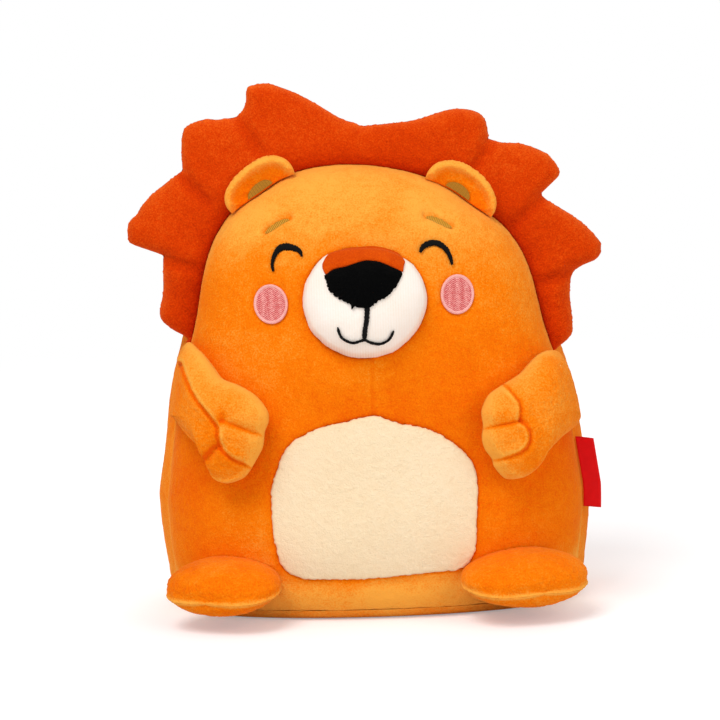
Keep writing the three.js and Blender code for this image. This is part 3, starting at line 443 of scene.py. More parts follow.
def plush(name, deep, middle, pale, tint, sheen=0.5, patch=30.0, patchy=0.9, grain=1.0):
    """Short pile: brushed patches, streaks and single tufts shift the colour between its deep and pale
    tones, the pieces' own marks paint shade towards the deep one and highlight towards the pale one,
    and the tufts and streaks raise the surface."""
    f = Finish(name)
    patches, streaks, tufts = f.noise(patch, 3.0, 0.55, 0.6), f.noise(300.0), f.noise(1400.0, 1.5, 0.7)
    # The marks paint shade where they are above 0 and highlight where they are below 0.
    nap = (patches - 0.5) * patchy + (streaks - 0.5) * 0.3 + (tufts - 0.5) * grain + 0.5 - f.mark() * 0.5
    colour = f.ramp(nap, (0.0, deep), (0.5, middle), (1.0, pale))
    return f.surface(colour, tufts + streaks * 0.8, 0.35 * mm, 0.95, sheen, tint, 0.05, 0.35)


orange = plush("orange_plush", (236, 92, 0), (247, 126, 4), (250, 170, 66), (255, 186, 96))


def set_in(piece, body, slot, *nodes):
    """Hangs a piece on its body, in the place of its nodes, which it hides. slot is not used."""
    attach(piece, body)
    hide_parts(*nodes)
    return piece


def belly_line(count):
    """The belly's outline, lowered on both sides of its top, so that it ends in a slight point there."""
    line = curve(place(belly_shares), count, closed=True)
    peak = line[np.argmax(line[:, 1])]
    aside, below = np.abs(line[:, 0] - peak[0]), peak[1] - line[:, 1]
    line[:, 1] -= 1.0 * mm * bell(aside - 13 * mm, 8 * mm) * (1 - smooth(below, 10 * mm, 24 * mm))
    return line


belly_outline = belly_line(240)
muzzle_outline = curve(place(muzzle_shares), 240, closed=True)
brow_fold = 0.9 * mm  # how far above a brow its fold lies
patch_roll, cheek_dent, chest_dent = 1.2 * mm, 0.8 * mm, 0.25 * mm
patch_pull, patch_pull_reach, seam_shade, seam_shade_width = 0.35 * mm, 4 * mm, 0.5, 1.3 * mm
eye_trough, brow_trough, chin_trough = (2.6 * mm, 0.9 * mm), (1.9 * mm, 2.0 * mm), (1.4 * mm, 0.45 * mm)
stitch_lines = [
    (curve(place(eye_left_shares), 24), *eye_trough),
    (curve(place(eye_right_shares), 24), *eye_trough),
    (curve(place(brow_left_shares), 16) + (0, brow_fold), *brow_trough),
    (curve(place(brow_right_shares), 16) + (0, brow_fold), *brow_trough),
    (place(chin_shares), *chin_trough),
]


def panel_piece(name, face, columns, rows, marks):
    """A panel's grid: turned-in edges, a broad pull and small puckers along its seams, the pile, and
    marks(points), the dents and painted shade of what is sewn on it. Its colour is painted paler at the
    head, the sides and the foot, painted light, and deeper at the belly's height."""
    turn, v = np.meshgrid(2 * spread(columns) - 1, spread(rows))
    drawn = panel(v, turn, face)
    across = edge_distance(drawn, 1)
    sides, below = np.minimum(across, across[:, -1:] - across), edge_distance(drawn, 0)
    d = np.minimum(sides, below)
    dent, seam = marks(drawn)
    puckers = fade(d, pucker_reach) * (pucker_depth * lumps(drawn, pucker_size, 3) - seam_pull) * mm
    lift = rolled(sides) + rolled(below, floor_roll) + puckers
    lift = lift + wave_depth * lumps(drawn, wave_size, 8) * smooth(d, 0, wave_ease)
    outer = skin(v, turn, face, lift + dent + pile(drawn))
    inner = skin(v, turn, face, np.minimum(-cloth, dent - 0.7 * cloth) - lining)
    z = drawn[..., 2]
    # Painted light: paler at the head, the sides and the foot; deeper at the belly's height.
    painted_light = 0.75 * smooth(z, 140 * mm, 196 * mm) + 1.1 * (1 - smooth(z, 8 * mm, 30 * mm))
    painted_light = painted_light + 0.8 * (1 - smooth(sides, 0, 16 * mm)) - 0.55 * bell(z - 72 * mm, 34 * mm)
    return cloth_sheet(name, outer, inner, orange, seam - painted_light)


def front_marks(drawn):
    """The front dips by a seam's roll at the belly's and muzzle's outlines and stays down under them,
    and sinks in a bell-shaped trough along each line of stitching, along the seam down the middle of the
    chest, and over the cheeks. Its marks paint shade along the outlines, round the brows and down the
    chest seam, with a painted highlight beside that seam."""
    flat = drawn[..., [0, 2]]
    dent, seam = np.zeros(flat.shape[:2]), np.zeros(flat.shape[:2])
    for outline in (belly_outline, muzzle_outline):
        d = apart(flat, outline, closed=True)
        dent += np.where(d > 0, rolled(d, patch_roll), -patch_roll)
        dent -= patch_pull * fade(np.clip(d, 0, 1), patch_pull_reach)
        # Painted shade along the belly's and muzzle's outlines.
        seam = np.maximum(seam, seam_shade * fade(np.abs(d), seam_shade_width))
    for line, width, depth in stitch_lines:
        d = apart(flat, line)
        dent -= depth * bell(d, width)
        # Painted shade round the deep troughs, the brows'.
        seam = np.maximum(seam, 0.6 * (depth > mm) * bell(d, seam_shade_width))
    middle, low = belly_outline[np.argmax(belly_outline[:, 1])]
    high, ease = muzzle_outline[:, 1].min(), 2 * mm
    aside = np.abs(flat[..., 0] - middle)
    chest = smooth(flat[..., 1], low - ease, low + ease) * (1 - smooth(flat[..., 1], high - ease, high + ease))
    dent -= chest_dent * chest * bell(aside, 1.0 * mm)
    # Painted shade down the chest seam, painted highlight beside it.
    seam += chest * (0.3 * bell(aside, 0.7 * mm) - 0.2 * bell(aside - 2 * mm, 1.2 * mm))
    for share in (cheek_left_share, cheek_right_share):
        away = np.linalg.norm((flat - place(share)) / (cheek_half_width, cheek_half_height), axis=-1)
        dent -= cheek_dent * (1 - smooth(away, 0.9, 1.5))
    return dent, seam


def no_marks(drawn):
    """Nothing is sewn on the back but the tail."""
    return np.zeros(drawn.shape[:2]), np.zeros(drawn.shape[:2])


front = panel_piece("front_panel_cloth", -1, 288, 264, front_marks)
set_in(front, "body", "orange_minky", "front_panel")
back = panel_piece("back_panel_cloth", 1, 224, 224, no_marks)
set_in(back, "body", "orange_minky", "back_panel")

# Gussets: a strip of the same plush on each side that gives the body its depth. They run from the
# base seam to the crown, where they meet, and are sewn to the front and the back.
gusset_bulge, gusset_margin = 4.8 * mm, 0.1 * mm
gusset_pucker_reach, gusset_wave_size, gusset_wave_ease = 4 * mm, 24 * mm, 12 * mm


def seam_place(w):
    """The seam's outline in the XZ plane for a place w, 0 to 1 up the left side and 1 to 2 down the
    right one: x, z and the outward normal from a small step either way."""
    side = np.where(w <= 1, -1.0, 1.0)
    v = np.where(w <= 1, w, 2 - w)

    def outline(place):
        """x and z of the seam at a place up this side."""
        z = height_at(place)
        x = side * half_width_at(z)
        return x, z - tilt_drop(x, z)

    x, z = outline(v)
    low_x, low_z = outline(np.maximum(0, np.minimum(v, 1 - slope) - slope))
    high_x, high_z = outline(np.minimum(1, v + slope))
    dx, dz = high_x - low_x, high_z - low_z
    run = np.hypot(dx, dz)
    top = v >= 1
    level = math.hypot(head_tilt, 1)
    return x, z, np.where(top, head_tilt / level, side * dz / run), np.where(top, 1 / level, -side * dx / run)


def past_seam(w, reach, y):
    """The point that lies past the seam by a reach along its normal, at depth y."""
    x, z, out_x, out_z = seam_place(w)
    return np.stack(np.broadcast_arrays(x + out_x * reach, y, z + out_z * reach), -1)


def gusset_point(side, v, across, lift):
    """A strip between the two seams with a parabola's bulge across it."""
    w = v if side < 0 else 2 - v
    z = height_at(v)
    y = front_seam_y(z) + gap + (back_seam_y(z) - front_seam_y(z) - 2 * gap) * across
    p = past_seam(w, 4 * gusset_bulge * across * (1 - across) + lift, y)
    p[..., 2] = np.maximum(p[..., 2], base_seam)
    return p


for side, name in ((-1, "left"), (1, "right")):
    across, v = np.meshgrid(spread(56), spread(264) * (1 - 2 * (gusset_margin / height)))
    drawn = gusset_point(side, v, across, 0)
    run = edge_distance(drawn, 1)
    d = np.minimum(np.minimum(run, run[:, -1:] - run), edge_distance(drawn, 0))
    lift = rolled(d) - seam_pull * mm * fade(d, pucker_reach)
    lift = lift + pucker_depth * mm * fade(d, gusset_pucker_reach) * lumps(drawn, pucker_size, 4)
    lift = lift + wave_depth * lumps(drawn, gusset_wave_size, 7) * smooth(d, 0, gusset_wave_ease) + pile(drawn)
    # Painted highlight: the gusset is painted paler along its seams.
    gusset = cloth_sheet(f"gusset_{name}_cloth", gusset_point(side, v, across, lift),
                         gusset_point(side, v, across, -cloth - lining), orange, -0.7 * fade(d, 1.6 * mm))
    set_in(gusset, "body", "orange_minky", f"gusset_{name}")

# Base: one oval of plush that closes the body underneath. Its edge turns up to the base seam, and the
# pellets inside press it flat on the table.
seam_angle = math.asin((corner_height - base_seam) / corner_height)
base_arc, base_pull, base_lump, base_lump_size = 10 * mm, 0.5 * mm, 0.25 * mm, 7 * mm
base_middle = (front_seam_y(0) + back_seam_y(0)) / 2


def body_ring(v, lift, wide=120, narrow=28):
    """One level round the whole body: front, right gusset, back, left gusset."""
    turn = np.linspace(-1, 1, wide + 1)
    across = np.arange(1, narrow) / narrow
    return np.vstack([
        skin(v, turn, -1, lift), gusset_point(1, np.full(narrow - 1, v), across, lift),
        skin(v, -turn, 1, lift), gusset_point(-1, np.full(narrow - 1, v), 1 - across, lift),
    ])


base_line = body_ring(0.0, 0.0)
base_step = np.roll(base_line, -2, 0) - np.roll(base_line, 2, 0)
base_out = np.stack([base_step[:, 1], -base_step[:, 0], 0 * base_step[:, 0]], -1)
base_out /= np.linalg.norm(base_out, axis=1, keepdims=True)


def base_ring(turn, lift):
    """A ring of the rounded lower edge: the rest of the quarter ellipse from the base seam (turn 0) to
    the floor (turn 1), moved out by the lift."""
    angle = seam_angle + (np.pi / 2 - seam_angle) * turn
    p = base_line + base_out * (np.cos(angle) * lift - corner_reach * (math.cos(seam_angle) - np.cos(angle)))
    p[:, 2] = corner_height * (1 - np.sin(angle)) - lift * np.sin(angle)
    return p


def loft(name, rings, poles, finish, seam=None):
    """Rings of equal count joined in order, closed on a pole at each end."""
    number, count = rings.shape[:2]
    i = np.arange(count)
    j = (i + 1) % count
    low = (np.arange(number - 1) * count)[:, None]
    quads = np.stack([low + i, low + j, low + count + j, low + count + i], -1).reshape(-1, 4)
    last = (number - 1) * count
    ends = np.vstack([np.stack([0 * i + number * count, j, i], -1),
                      np.stack([last + i, last + j, 0 * i + number * count + 1], -1)])
    marks = None if seam is None else np.concatenate([np.broadcast_to(seam, rings.shape[:2]).ravel(), [0, 0]])
    return mesh_piece(name, np.vstack([rings.reshape(-1, 3), poles]), [quads, ends], finish, marks)


turns = np.concatenate([spread(44)[:-1], [1.0]])
run = turns * base_arc
outer = [base_ring(t, rolled(d + 0.1 * mm) - base_pull * math.exp(-d / pucker_reach) * math.cos(t * np.pi / 2))
         for t, d in zip(turns, run)]
outer = [
    ring + (base_out * (pile(ring) + base_lump * lumps(ring, base_lump_size, 8))[:, None]) * math.cos(t * np.pi / 2)
    for ring, t in zip(outer, turns)
]
middle = np.array([0, base_middle, 0])
outer += [middle + (outer[-1] - middle) * s for s in np.linspace(0.96, 0.04, 24)]
raised = middle + (0, 0, cloth)
inner = [raised + (base_ring(1.0, -cloth) - middle - (0, 0, cloth)) * s for s in (0.1, 0.5, 0.9)]
inner += [base_ring(t, -cloth - lining) for t in (1.0, 0.8, 0.55, 0.3, 0.1)]
rings = np.array([*reversed(outer), *reversed(inner)])
rings[..., 2] = np.clip(rings[..., 2], 0, base_seam - 0.02 * mm)
# Painted highlight: the base is painted paler round its rounded edge, most at the base seam.
marks = np.concatenate([np.zeros(24), -0.8 * fade(run[::-1], base_arc), np.zeros(len(inner))])[:, None]
base = loft("base_panel_cloth", rings, np.array([middle, raised]), orange, marks)
set_in(base, "body", "orange_minky", "base_panel")

# Body filling: loose polyester fibre packed through the last gap in the seam, over a flat calico
# pouch of plastic pellets that lies on the base and lets the animal sit.
fill_clear, fill_tuck, fill_lump_size, fill_centre_height, floor_rings = 1.1 * mm, 0.5 * mm, 14 * mm, 90 * mm, 30
pouch_radius, pouch_thickness, pouch_share = 44 * mm, 20 * mm, 0.75


def fibre(name):
    """White fibre: matted strands as stretched noise, with painted shade, a little grey, in the hollows."""
    f = Finish(name)
    strands = f.noise(420.0, 4.0, 0.65, 2.5)
    return f.surface(f.ramp(strands, (0.3, (214, 214, 210)), (0.7, (246, 246, 243))), strands, 0.8 * mm, 1.0, 0.3)


filling = fibre("polyester_fibre")


def pouch_ring(angle, radius, low, high, count=96):
    """A ring of the pouch: radius times cosine to the power 0.6, height from a sine between its faces."""
    turn = np.linspace(0, 2 * np.pi, count, endpoint=False)
    r = radius * max(math.cos(angle), 0) ** 0.6
    z = low + (high - low) / 2 * (1 + math.sin(angle))
    return np.stack([r * np.cos(turn), base_middle + pouch_share * r * np.sin(turn), 0 * turn + z], -1)


inset = cloth + fill_clear
floor_ring = base_ring(1.0, -inset)
fill_middle = np.array([0, base_middle, inset])
rings = [fill_middle + (floor_ring - fill_middle) * s for s in np.linspace(0.04, 1, floor_rings)]
rings += [base_ring(t, -inset) for t in (0.75, 0.5, 0.25)]
rings += [body_ring(v, -inset) for v in np.concatenate([np.linspace(0, 0.05, 8), np.linspace(0.065, 0.985, 46)])]
rings = np.array(rings)
away = np.hypot(rings[..., 0], (rings[..., 1] - base_middle) / pouch_share) / (pouch_radius + gap)
roof = cloth + gap + pouch_thickness / 2 * (1 + np.sqrt(np.clip(1 - away ** (10 / 3), 0, 1))) + gap
floor = rings[:floor_rings, :, 2]
floor[:] = np.where(away[:floor_rings] < 1, np.maximum(floor, roof[:floor_rings]), floor)
from_centre = rings - np.array([0, base_middle, fill_centre_height])
tuck = (lumps(rings, fill_lump_size, 9) - 1) * fill_tuck
tucked = from_centre / np.linalg.norm(from_centre, axis=-1, keepdims=True) * tuck[..., None]
rings[floor_rings:] += tucked[floor_rings:]
poles = np.array([[0, base_middle, cloth + 2 * gap + pouch_thickness], rings[-1].mean(0) + (0, 0, 0.4 * mm)])
stuffing = loft("body_filling", rings, poles, filling)
set_in(stuffing, "body", "polyester_fill", "body_stuffing")


def calico(name):
    """Unbleached plain weave: two crossed waves."""
    f = Finish(name)
    weave = f.wave("X", 620.0, 1.0) * f.wave("Y", 620.0, 1.0)
    return f.surface(f.ramp(weave, (0.0, (196, 186, 164)), (1.0, (228, 220, 202))), weave, 0.1 * mm, 0.9)


floor_height = cloth + gap
rings = np.array([pouch_ring(a, pouch_radius - cloth, floor_height, floor_height + pouch_thickness)
                  for a in np.linspace(-1.5, 1.5, 40)])
rings[..., :2] *= 1 - 0.012 * (1 + lumps(rings, 4 * mm, 10))[..., None] * np.array([1, 0])
poles = np.array([[0, base_middle, floor_height], [0, base_middle, floor_height + pouch_thickness]])
pouch = loft("pellet_bag", rings, poles, calico("pouch_calico"))
set_in(pouch, "body", "pouch_calico", "pellet_pouch")

# Belly patch: a cream plush shape let into the front, its raw edge turned under and both piles
# brushed over the seam, so that the line between the colours is ragged.
cream = plush("cream_plush", (240, 208, 164), (248, 224, 186), (252, 234, 204), (255, 246, 228), 0.3, 34.0,
              patchy=0.4, grain=0.6)


def place_at(z):
    """The place up the body that has height z, the inverse of height_at."""
    return np.arcsin(np.clip((z - base_seam) / (height - base_seam), 0, 1)) * 2 / np.pi


def level_at(x, up):
    """The upright form's level whose tilted place has this x and height, found by repeated steps."""
    z = up
    for _ in range(6):
        z = np.minimum(height, up + tilt_drop(x, z))
    return z


def on_front(point, lift=0.0):
    """A place of the front skin given by its x and z, lifted along the normal."""
    z = level_at(point[..., 0], point[..., 1])
    sine = np.clip(point[..., 0] / np.maximum(half_width_at(z), 1e-9), -1, 1)
    return skin(place_at(z), np.arcsin(sine) * 2 / np.pi, -1, lift)


def upright(at):
    """Points of a drawing of the front as points in space, at depth 0."""
    return np.stack([at[..., 0], 0 * at[..., 0], at[..., 1]], -1)


def dish_rings(outline, centre, scales, top, bottom, where):
    """Rings shrunk from an outline to a centre: the top ones outwards from the middle, then a few
    bottom ones back. top and bottom give heights from the ring's share and its points."""
    def ring(share, form):
        """The outline shrunk to a share of it, at the form's height."""
        at = centre + share * (outline - centre)
        return where(at, form(share, at))
    upper = [ring(s, top) for s in scales]
    lower = [ring(s, bottom) for s in (1.0, 0.97, 0.8, 0.5, 0.2)]
    poles = [where(centre[None], form(0.0, centre[None]))[0] for form in (top, bottom)]
    return np.array(upper + lower), np.array(poles)


def edge_depth(share, radius, at):
    """How far in from an outline of the given radii a ring's points lie; a pole takes the mean radius."""
    return (1 - share) * (radius if len(at) > 1 else radius.mean())


def ragged(outline, amount, seed, size=1.1 * mm):
    """An outline whose points move out and in by lumps along it, as tufts do at a cut edge."""
    step = np.roll(outline, -1, 0) - np.roll(outline, 1, 0)
    out = np.stack([step[:, 1], -step[:, 0]], -1) / np.linalg.norm(step, axis=1, keepdims=True)
    at = upright(outline)
    shift = amount * (lumps(at, size, seed) + 0.6 * lumps(at, size * 2.7, seed + 1))
    return outline + out * shift[:, None]


belly_clear, belly_swell, belly_swell_reach, belly_back = 0.35 * mm, 0.9 * mm, 9 * mm, 1.05 * mm
belly_rag, edge_shade_rate = 0.35 * mm, 45
edge = ragged(belly_line(460), belly_rag, 11)
belly_centre = place((0, 280))
belly_radius = np.linalg.norm(edge - belly_centre, axis=1)


def belly_top(share, at):
    """Height over the front: rolled under at its edge, then slowly fuller towards the middle."""
    d = edge_depth(share, belly_radius, at)
    return belly_clear + rolled(d, patch_roll) + belly_swell * (1 - fade(d, belly_swell_reach)) + pile(upright(at))


scales = np.concatenate([np.linspace(0.012, 0.94, 70), 0.94 + 0.06 * np.sin(np.linspace(0.1, 1, 14) * np.pi / 2)])
rings, poles = dish_rings(edge, belly_centre, scales, belly_top, lambda share, at: np.full(len(at), -belly_back),
                          on_front)
# Painted shade: the cream is painted deeper at its turned-under edge.
marks = np.concatenate([np.exp(-edge_shade_rate * (1 - scales)), np.zeros(5)])[:, None]
belly = loft("belly_patch_cloth", rings, poles, cream, marks)
set_in(belly, "body", "cream_plush", "belly_patch")

# Muzzle: a padded dome of smooth ribbed white plush over its own bit of filling, gathered to the face
# along its edge.
muzzle_rise, muzzle_round, muzzle_power, muzzle_sunk = 11 * mm, 2.2, 0.62, 0.5 * mm
muzzle_fill_share, muzzle_fill_power, muzzle_rag = 0.92, 0.7, 0.15 * mm
share_mm = 28  # about how many millimetres a muzzle or an arm reaches from its middle
dart_middle, dart_width, dart_low, dart_high = 2.4 * mm, 0.7 * mm, 121 * mm, 126 * mm
muzzle_centre = place((-20, 710))
muzzle_edge = curve(place(muzzle_shares), 360, closed=True)
edge_away = muzzle_edge - muzzle_centre
edge_angle = np.arctan2(edge_away[:, 1], edge_away[:, 0])
edge_radius = np.linalg.norm(edge_away, axis=1)


def muzzle_share(point):
    """How far out a point lies from the muzzle's middle, as a share of its outline that way."""
    away = point - muzzle_centre
    radius = np.interp(np.arctan2(away[..., 1], away[..., 0]), edge_angle, edge_radius, period=2 * np.pi)
    return np.linalg.norm(away, axis=-1) / radius


def muzzle_lift(point):
    """Height of the muzzle over the front: a dome that falls steeply and sinks in at its edge."""
    share = np.clip(muzzle_share(point), 0, 1)
    swell = (muzzle_rise + muzzle_sunk) * (1 - share**muzzle_round) ** muzzle_power
    return gap - muzzle_sunk + cloth * smooth(1 - share, 0, 0.1) + swell


def ribbed(name):
    """Smooth white plush: fine upright ribs, a faint warm shadow painted between them, and painted shade at its edge
    from the marks.
    """
    f = Finish(name)
    ribs = f.wave("X", 270.0, 0.6, {"Detail": 1.0, "Detail Scale": 60.0})
    tufts, patches = f.noise(1500.0, 2.0, 0.6), f.noise(60.0)
    # Painted shade between the ribs and, from the marks, at the edge.
    tone = ribs * 0.14 + tufts * 0.3 + patches * 0.5 - f.mark() * 0.35
    colour = f.ramp(tone, (0.0, (238, 206, 176)), (0.35, (250, 236, 222)), (0.8, (254, 247, 240)))
    return f.surface(colour, ribs * 0.3 + tufts * 0.5, 0.12 * mm, 0.9, 0.25, (255, 250, 240), 0.15)


def muzzle_top(share, at):
    """The dome, turned in at its edge, with a short dart under the chin."""
    d = edge_depth(share, edge_radius, at)
    dart = bell(at[:, 0] + dart_middle, dart_width) * (1 - smooth(at[:, 1], dart_low, dart_high))
    return muzzle_lift(at) - 0.3 * mm * (1 - smooth(d, 0, 1.5 * mm)) - 0.5 * mm * dart + pile(upright(at), 0.6)


muzzle_scales = np.sort(np.concatenate([np.linspace(0.015, 0.9, 56), np.sin(np.linspace(0.72, 1, 26) * np.pi / 2)]))
rings, poles = dish_rings(ragged(muzzle_edge, muzzle_rag, 13), muzzle_centre, muzzle_scales, muzzle_top,
                          lambda share, at: muzzle_lift(at) - (0.8 * mm if share == 1 else cloth) - lining, on_front)
# Painted shade: the white is painted darker at its turned-in edge.
marks = np.concatenate([fade((1 - muzzle_scales) * share_mm, 1.3), np.zeros(5)])[:, None]
muzzle = loft("muzzle_cloth", rings, poles, ribbed("white_ribbed_plush"), marks)
set_in(muzzle, "body", "white_plush", "muzzle_panel")

fill_edge = muzzle_centre + (muzzle_edge - muzzle_centre) * (1 - (cloth + fill_clear) / edge_radius.mean())


def muzzle_fill_top(share, at):
    """A lower dome under the cloth, with small lumps."""
    swell = (muzzle_rise - fill_clear) * np.clip(1 - share**muzzle_round, 0, 1) ** muzzle_fill_power
    return (gap + swell * muzzle_fill_share - 0.4 * mm * share
            + 0.25 * mm * lumps(upright(at), 5 * mm, 14) * (1 - share))


rings, poles = dish_rings(fill_edge, muzzle_centre, np.linspace(0.03, 0.97, 30), muzzle_fill_top,
                          lambda share, at: np.full(len(at), gap / 2 - 0.1 * mm), on_front)
muzzle_pad = loft("muzzle_filling", rings, poles, filling)
set_in(muzzle_pad, "body", "polyester_fill", "muzzle_stuffing")

# Nose and bridge: a black plush nose whose pile is combed down over the white, and above it a crescent
# of darker orange plush that covers the top of the muzzle, its dark colour painted shade where the face
# turns forward onto the muzzle.
nose_shares = [
    (-194, 765), (-154, 776), (-102, 780), (-58, 786), (-11, 791), (41, 788), (92, 778), (144, 766),
    (133, 749), (110, 733), (79, 717), (44, 710), (-3, 697), (-42, 696), (-75, 700), (-105, 709),
    (-130, 715), (-159, 727), (-176, 740), (-185, 752),
]
bridge_low_shares = [
    (-205, 782), (-198, 774), (-185, 767), (-154, 776), (-102, 780), (-58, 786), (-11, 791), (41, 788),
    (92, 778), (144, 766), (154, 775),
]
bridge_high_shares = [
    (-206, 791), (-179, 816), (-148, 822), (-104, 829), (-35, 831), (34, 831), (102, 823), (147, 812),
    (164, 789),
]
black_plush = plush("black_plush", (1, 1, 2), (4, 4, 4), (10, 10, 10), (60, 60, 64), 0.04, 60.0)
# A darker orange for the painted shade over the top of the muzzle.
shaded_orange = plush("dark_orange_plush", (190, 56, 2), (212, 74, 3), (228, 94, 9), (250, 150, 80), 0.35, 60.0)

nose_rag, nose_comb, nose_puff, nose_full, bridge_steps = 0.15, 1.2, 1.3 * mm, 0.9 * mm, 161
bridge_clear, bridge_puff, bridge_roll = 0.25 * mm, 1.0 * mm, 2.4 * mm
nose_centre = place((-20, 745))
edge = curve(place(nose_shares), 420, closed=True)
away = edge - nose_centre
unit = away / np.linalg.norm(away, axis=1, keepdims=True)
down = np.clip(0.35 - unit[:, 1] - 0.3 * unit[:, 0], 0, 1.4) / 1.4
at = upright(edge)
spikes = np.clip(lumps(at, 0.8 * mm, 15), -0.4, 1) + 0.4 * lumps(at, 2.2 * mm, 16)
edge = edge + unit * ((nose_rag + nose_comb * down) * mm * spikes)[:, None]
nose_radius = np.linalg.norm(edge - nose_centre, axis=1)


def on_muzzle(point, lift):
    """A place of the muzzle's outer face, lifted."""
    return on_front(point, muzzle_lift(point) + lift)


def quarter(x):
    """The rise of a quarter circle from 0 to 1 while x goes from 0 to 1."""
    return np.sqrt(1 - (1 - np.clip(x, 0, 1)) ** 2)


def nose_top(share, at):
    """A low cushion on the muzzle that thins to its ragged edge."""
    d = edge_depth(share, nose_radius, at)
    puff = nose_puff * (1 - fade(d, 1.1 * mm)) + nose_full * smooth(d, 0, 7 * mm)
    return gap + 0.35 * mm + puff + pile(upright(at), 1.4)


scales = np.concatenate([np.linspace(0.02, 0.88, 44), np.linspace(0.9, 1, 12)])
rings, poles = dish_rings(edge, nose_centre, scales, nose_top, lambda share, at: np.full(len(at), gap), on_muzzle)
nose = loft("nose_cloth", rings, poles, black_plush, np.zeros((len(rings), 1)))
set_in(nose, "body", "black_plush", "nose_patch")

low, high = (curve(place(shares), bridge_steps) for shares in (bridge_low_shares, bridge_high_shares))
across, along = np.meshgrid(np.linspace(0, 1, 33), np.arange(bridge_steps), indexing="ij")
flat = low[along] + (high - low)[along] * across[..., None]
span = np.linalg.norm(high - low, axis=1)[along]
ends = np.minimum(edge_distance(low, 0)[along], edge_distance(low[::-1], 0)[::-1][along])
d = np.minimum(np.minimum(across, 1 - across) * span, ends * 0.8)
lift = np.maximum(muzzle_lift(flat), 0) + bridge_clear
outer = on_front(flat, lift + bridge_clear + bridge_puff * quarter(d / bridge_roll) + pile(upright(flat)))
inner = on_front(flat, lift)
# Painted shade, deeper at the crescent's edges.
bridge = cloth_sheet("nose_bridge_cloth", outer, inner, shaded_orange, fade(d, 0.8 * mm) * 0.3)
set_in(bridge, "body", "dark_orange_plush", "nose_bridge_panel")

# Stitched face: eyes, brows, cheeks and mouth in satin stitch of shiny rayon thread, worked through
# the pile so that each line sinks into it.
thread_height, stitch_pitch, brow_pitch, steps_per_stitch = 0.9 * mm, 0.52 * mm, 0.8 * mm, 6
eye_sunk, brow_sunk, cheek_sunk, cheek_back = 0.7 * mm, 1.6 * mm, 0.7 * mm, 1.0 * mm
cheek_column, cheek_row, cheek_spokes, cheek_turns = 3.2 * mm, 0.8 * mm, 52, 312
ring_middle, ring_half = 0.925, 0.078


def thread(name, dark, light, gloss=0.45):
    """Satin stitch: the mesh carries each stitch's ridge as its seam value, and the colour is painted
    light on the ridges and dark between them, painted highlight and shade; the thread shines along it."""
    f = Finish(name)
    twist = f.noise(2600.0, 2.0, 0.6)
    # Painted highlight on each stitch's ridge, painted shade between stitches.
    colour = f.ramp(f.mark() * 0.8 + twist * 0.3, (0.1, dark), (0.9, light))
    return f.surface(colour, twist, 0.06 * mm, gloss, 0.06, light, 0.15)


def satin_line(name, path, half, taper, finish, where, pitch=stitch_pitch):
    """A raised line along a path: half an ellipse across, as wide as taper says at each share, with a
    ridge for each stitch and ends of stitches that reach unevenly past the line."""
    length = edge_distance(path, 0)[-1]
    count = int(length / pitch * steps_per_stitch)
    line = curve(path, count + 2)
    tangent = np.gradient(line, axis=0)
    tangent /= np.linalg.norm(tangent, axis=1, keepdims=True)
    line, tangent = line[1:-1], tangent[1:-1]
    share = (np.arange(count) + 1) / (count + 1)
    stitch = share * length / pitch
    ridge = np.abs(np.sin(np.pi * stitch)) ** 0.7
    rough = lumps(np.stack([np.floor(stitch) * 7.3, 0 * stitch, 0 * stitch], -1), 1.0, 17)
    width = half * taper(share) * (1 + 0.16 * rough) * (0.9 + 0.1 * ridge)
    angle = np.linspace(0, np.pi, 9)
    side = np.concatenate([np.cos(angle), [-0.6, 0.0, 0.6]])
    up = np.concatenate([np.sin(angle) ** 0.8, [-0.12, -0.15, -0.12]])
    normal = np.stack([-tangent[:, 1], tangent[:, 0]], -1)
    flat = line[:, None] + normal[:, None] * (side * width[:, None])[..., None]
    lift = gap + thread_height * up * (0.72 + 0.28 * ridge)[:, None]
    rings = where(flat, lift)
    poles = np.array([where(path[k][None], np.array([gap + 0.2 * thread_height]))[0] for k in (0, -1)])
    return loft(name, rings, poles, finish, ridge[:, None])


def both_ends(share):
    """Thin at both ends: the square root of a half sine."""
    return np.sin(np.pi * np.clip(share, 0.004, 0.996)) ** 0.5


def on_dent(depth):
    """Places on the front that lie in a dent of the given depth."""
    return lambda flat, lift: on_front(flat, lift - depth)


def zigzag_thread(name, dark, light, row=0.85 * mm, column=1.9 * mm, swing=1.3 * mm):
    """Rows of stitches that lean one way and the other from column to column: the height moves with a
    triangle wave of x, and a second triangle wave of it gives each row, painted lighter at its crest and
    darker at its foot, painted highlight and shade. The edge keeps its light ring."""
    f = Finish(name)
    x, z = (f.add("ShaderNodeSeparateXYZ", {}, {0: f.at}, axis) for axis in "XZ")
    lean = x.math("PINGPONG", x, column)
    moved = z + lean * (swing / column)
    rows = moved.math("PINGPONG", moved, row / 2) * (2 / row)
    # Painted highlight on the rows' crests and painted shade at their feet.
    tone = rows * 0.6 + f.noise(1100.0) * 0.9 - 0.35 + (lean * (1 / column) - 0.5) * 0.2
    colour = f.ramp(tone + f.mark() * (0.85 - tone), (0.15, dark), (0.85, light))
    return f.surface(colour, rows, 0.12 * mm, 0.5, 0.1, light, 0.2)


black_thread = thread("black_thread", (1, 1, 1), (9, 8, 8), 0.75)
gold_thread = thread("gold_thread", (122, 74, 4), (210, 150, 44))
pink_thread = zigzag_thread("pink_thread", (206, 70, 72), (255, 190, 182))


def widths(*shares):
    """A line's width along it as shares of its greatest, at even steps from end to end."""
    return lambda share: np.interp(share, np.linspace(0, 1, len(shares)), shares)


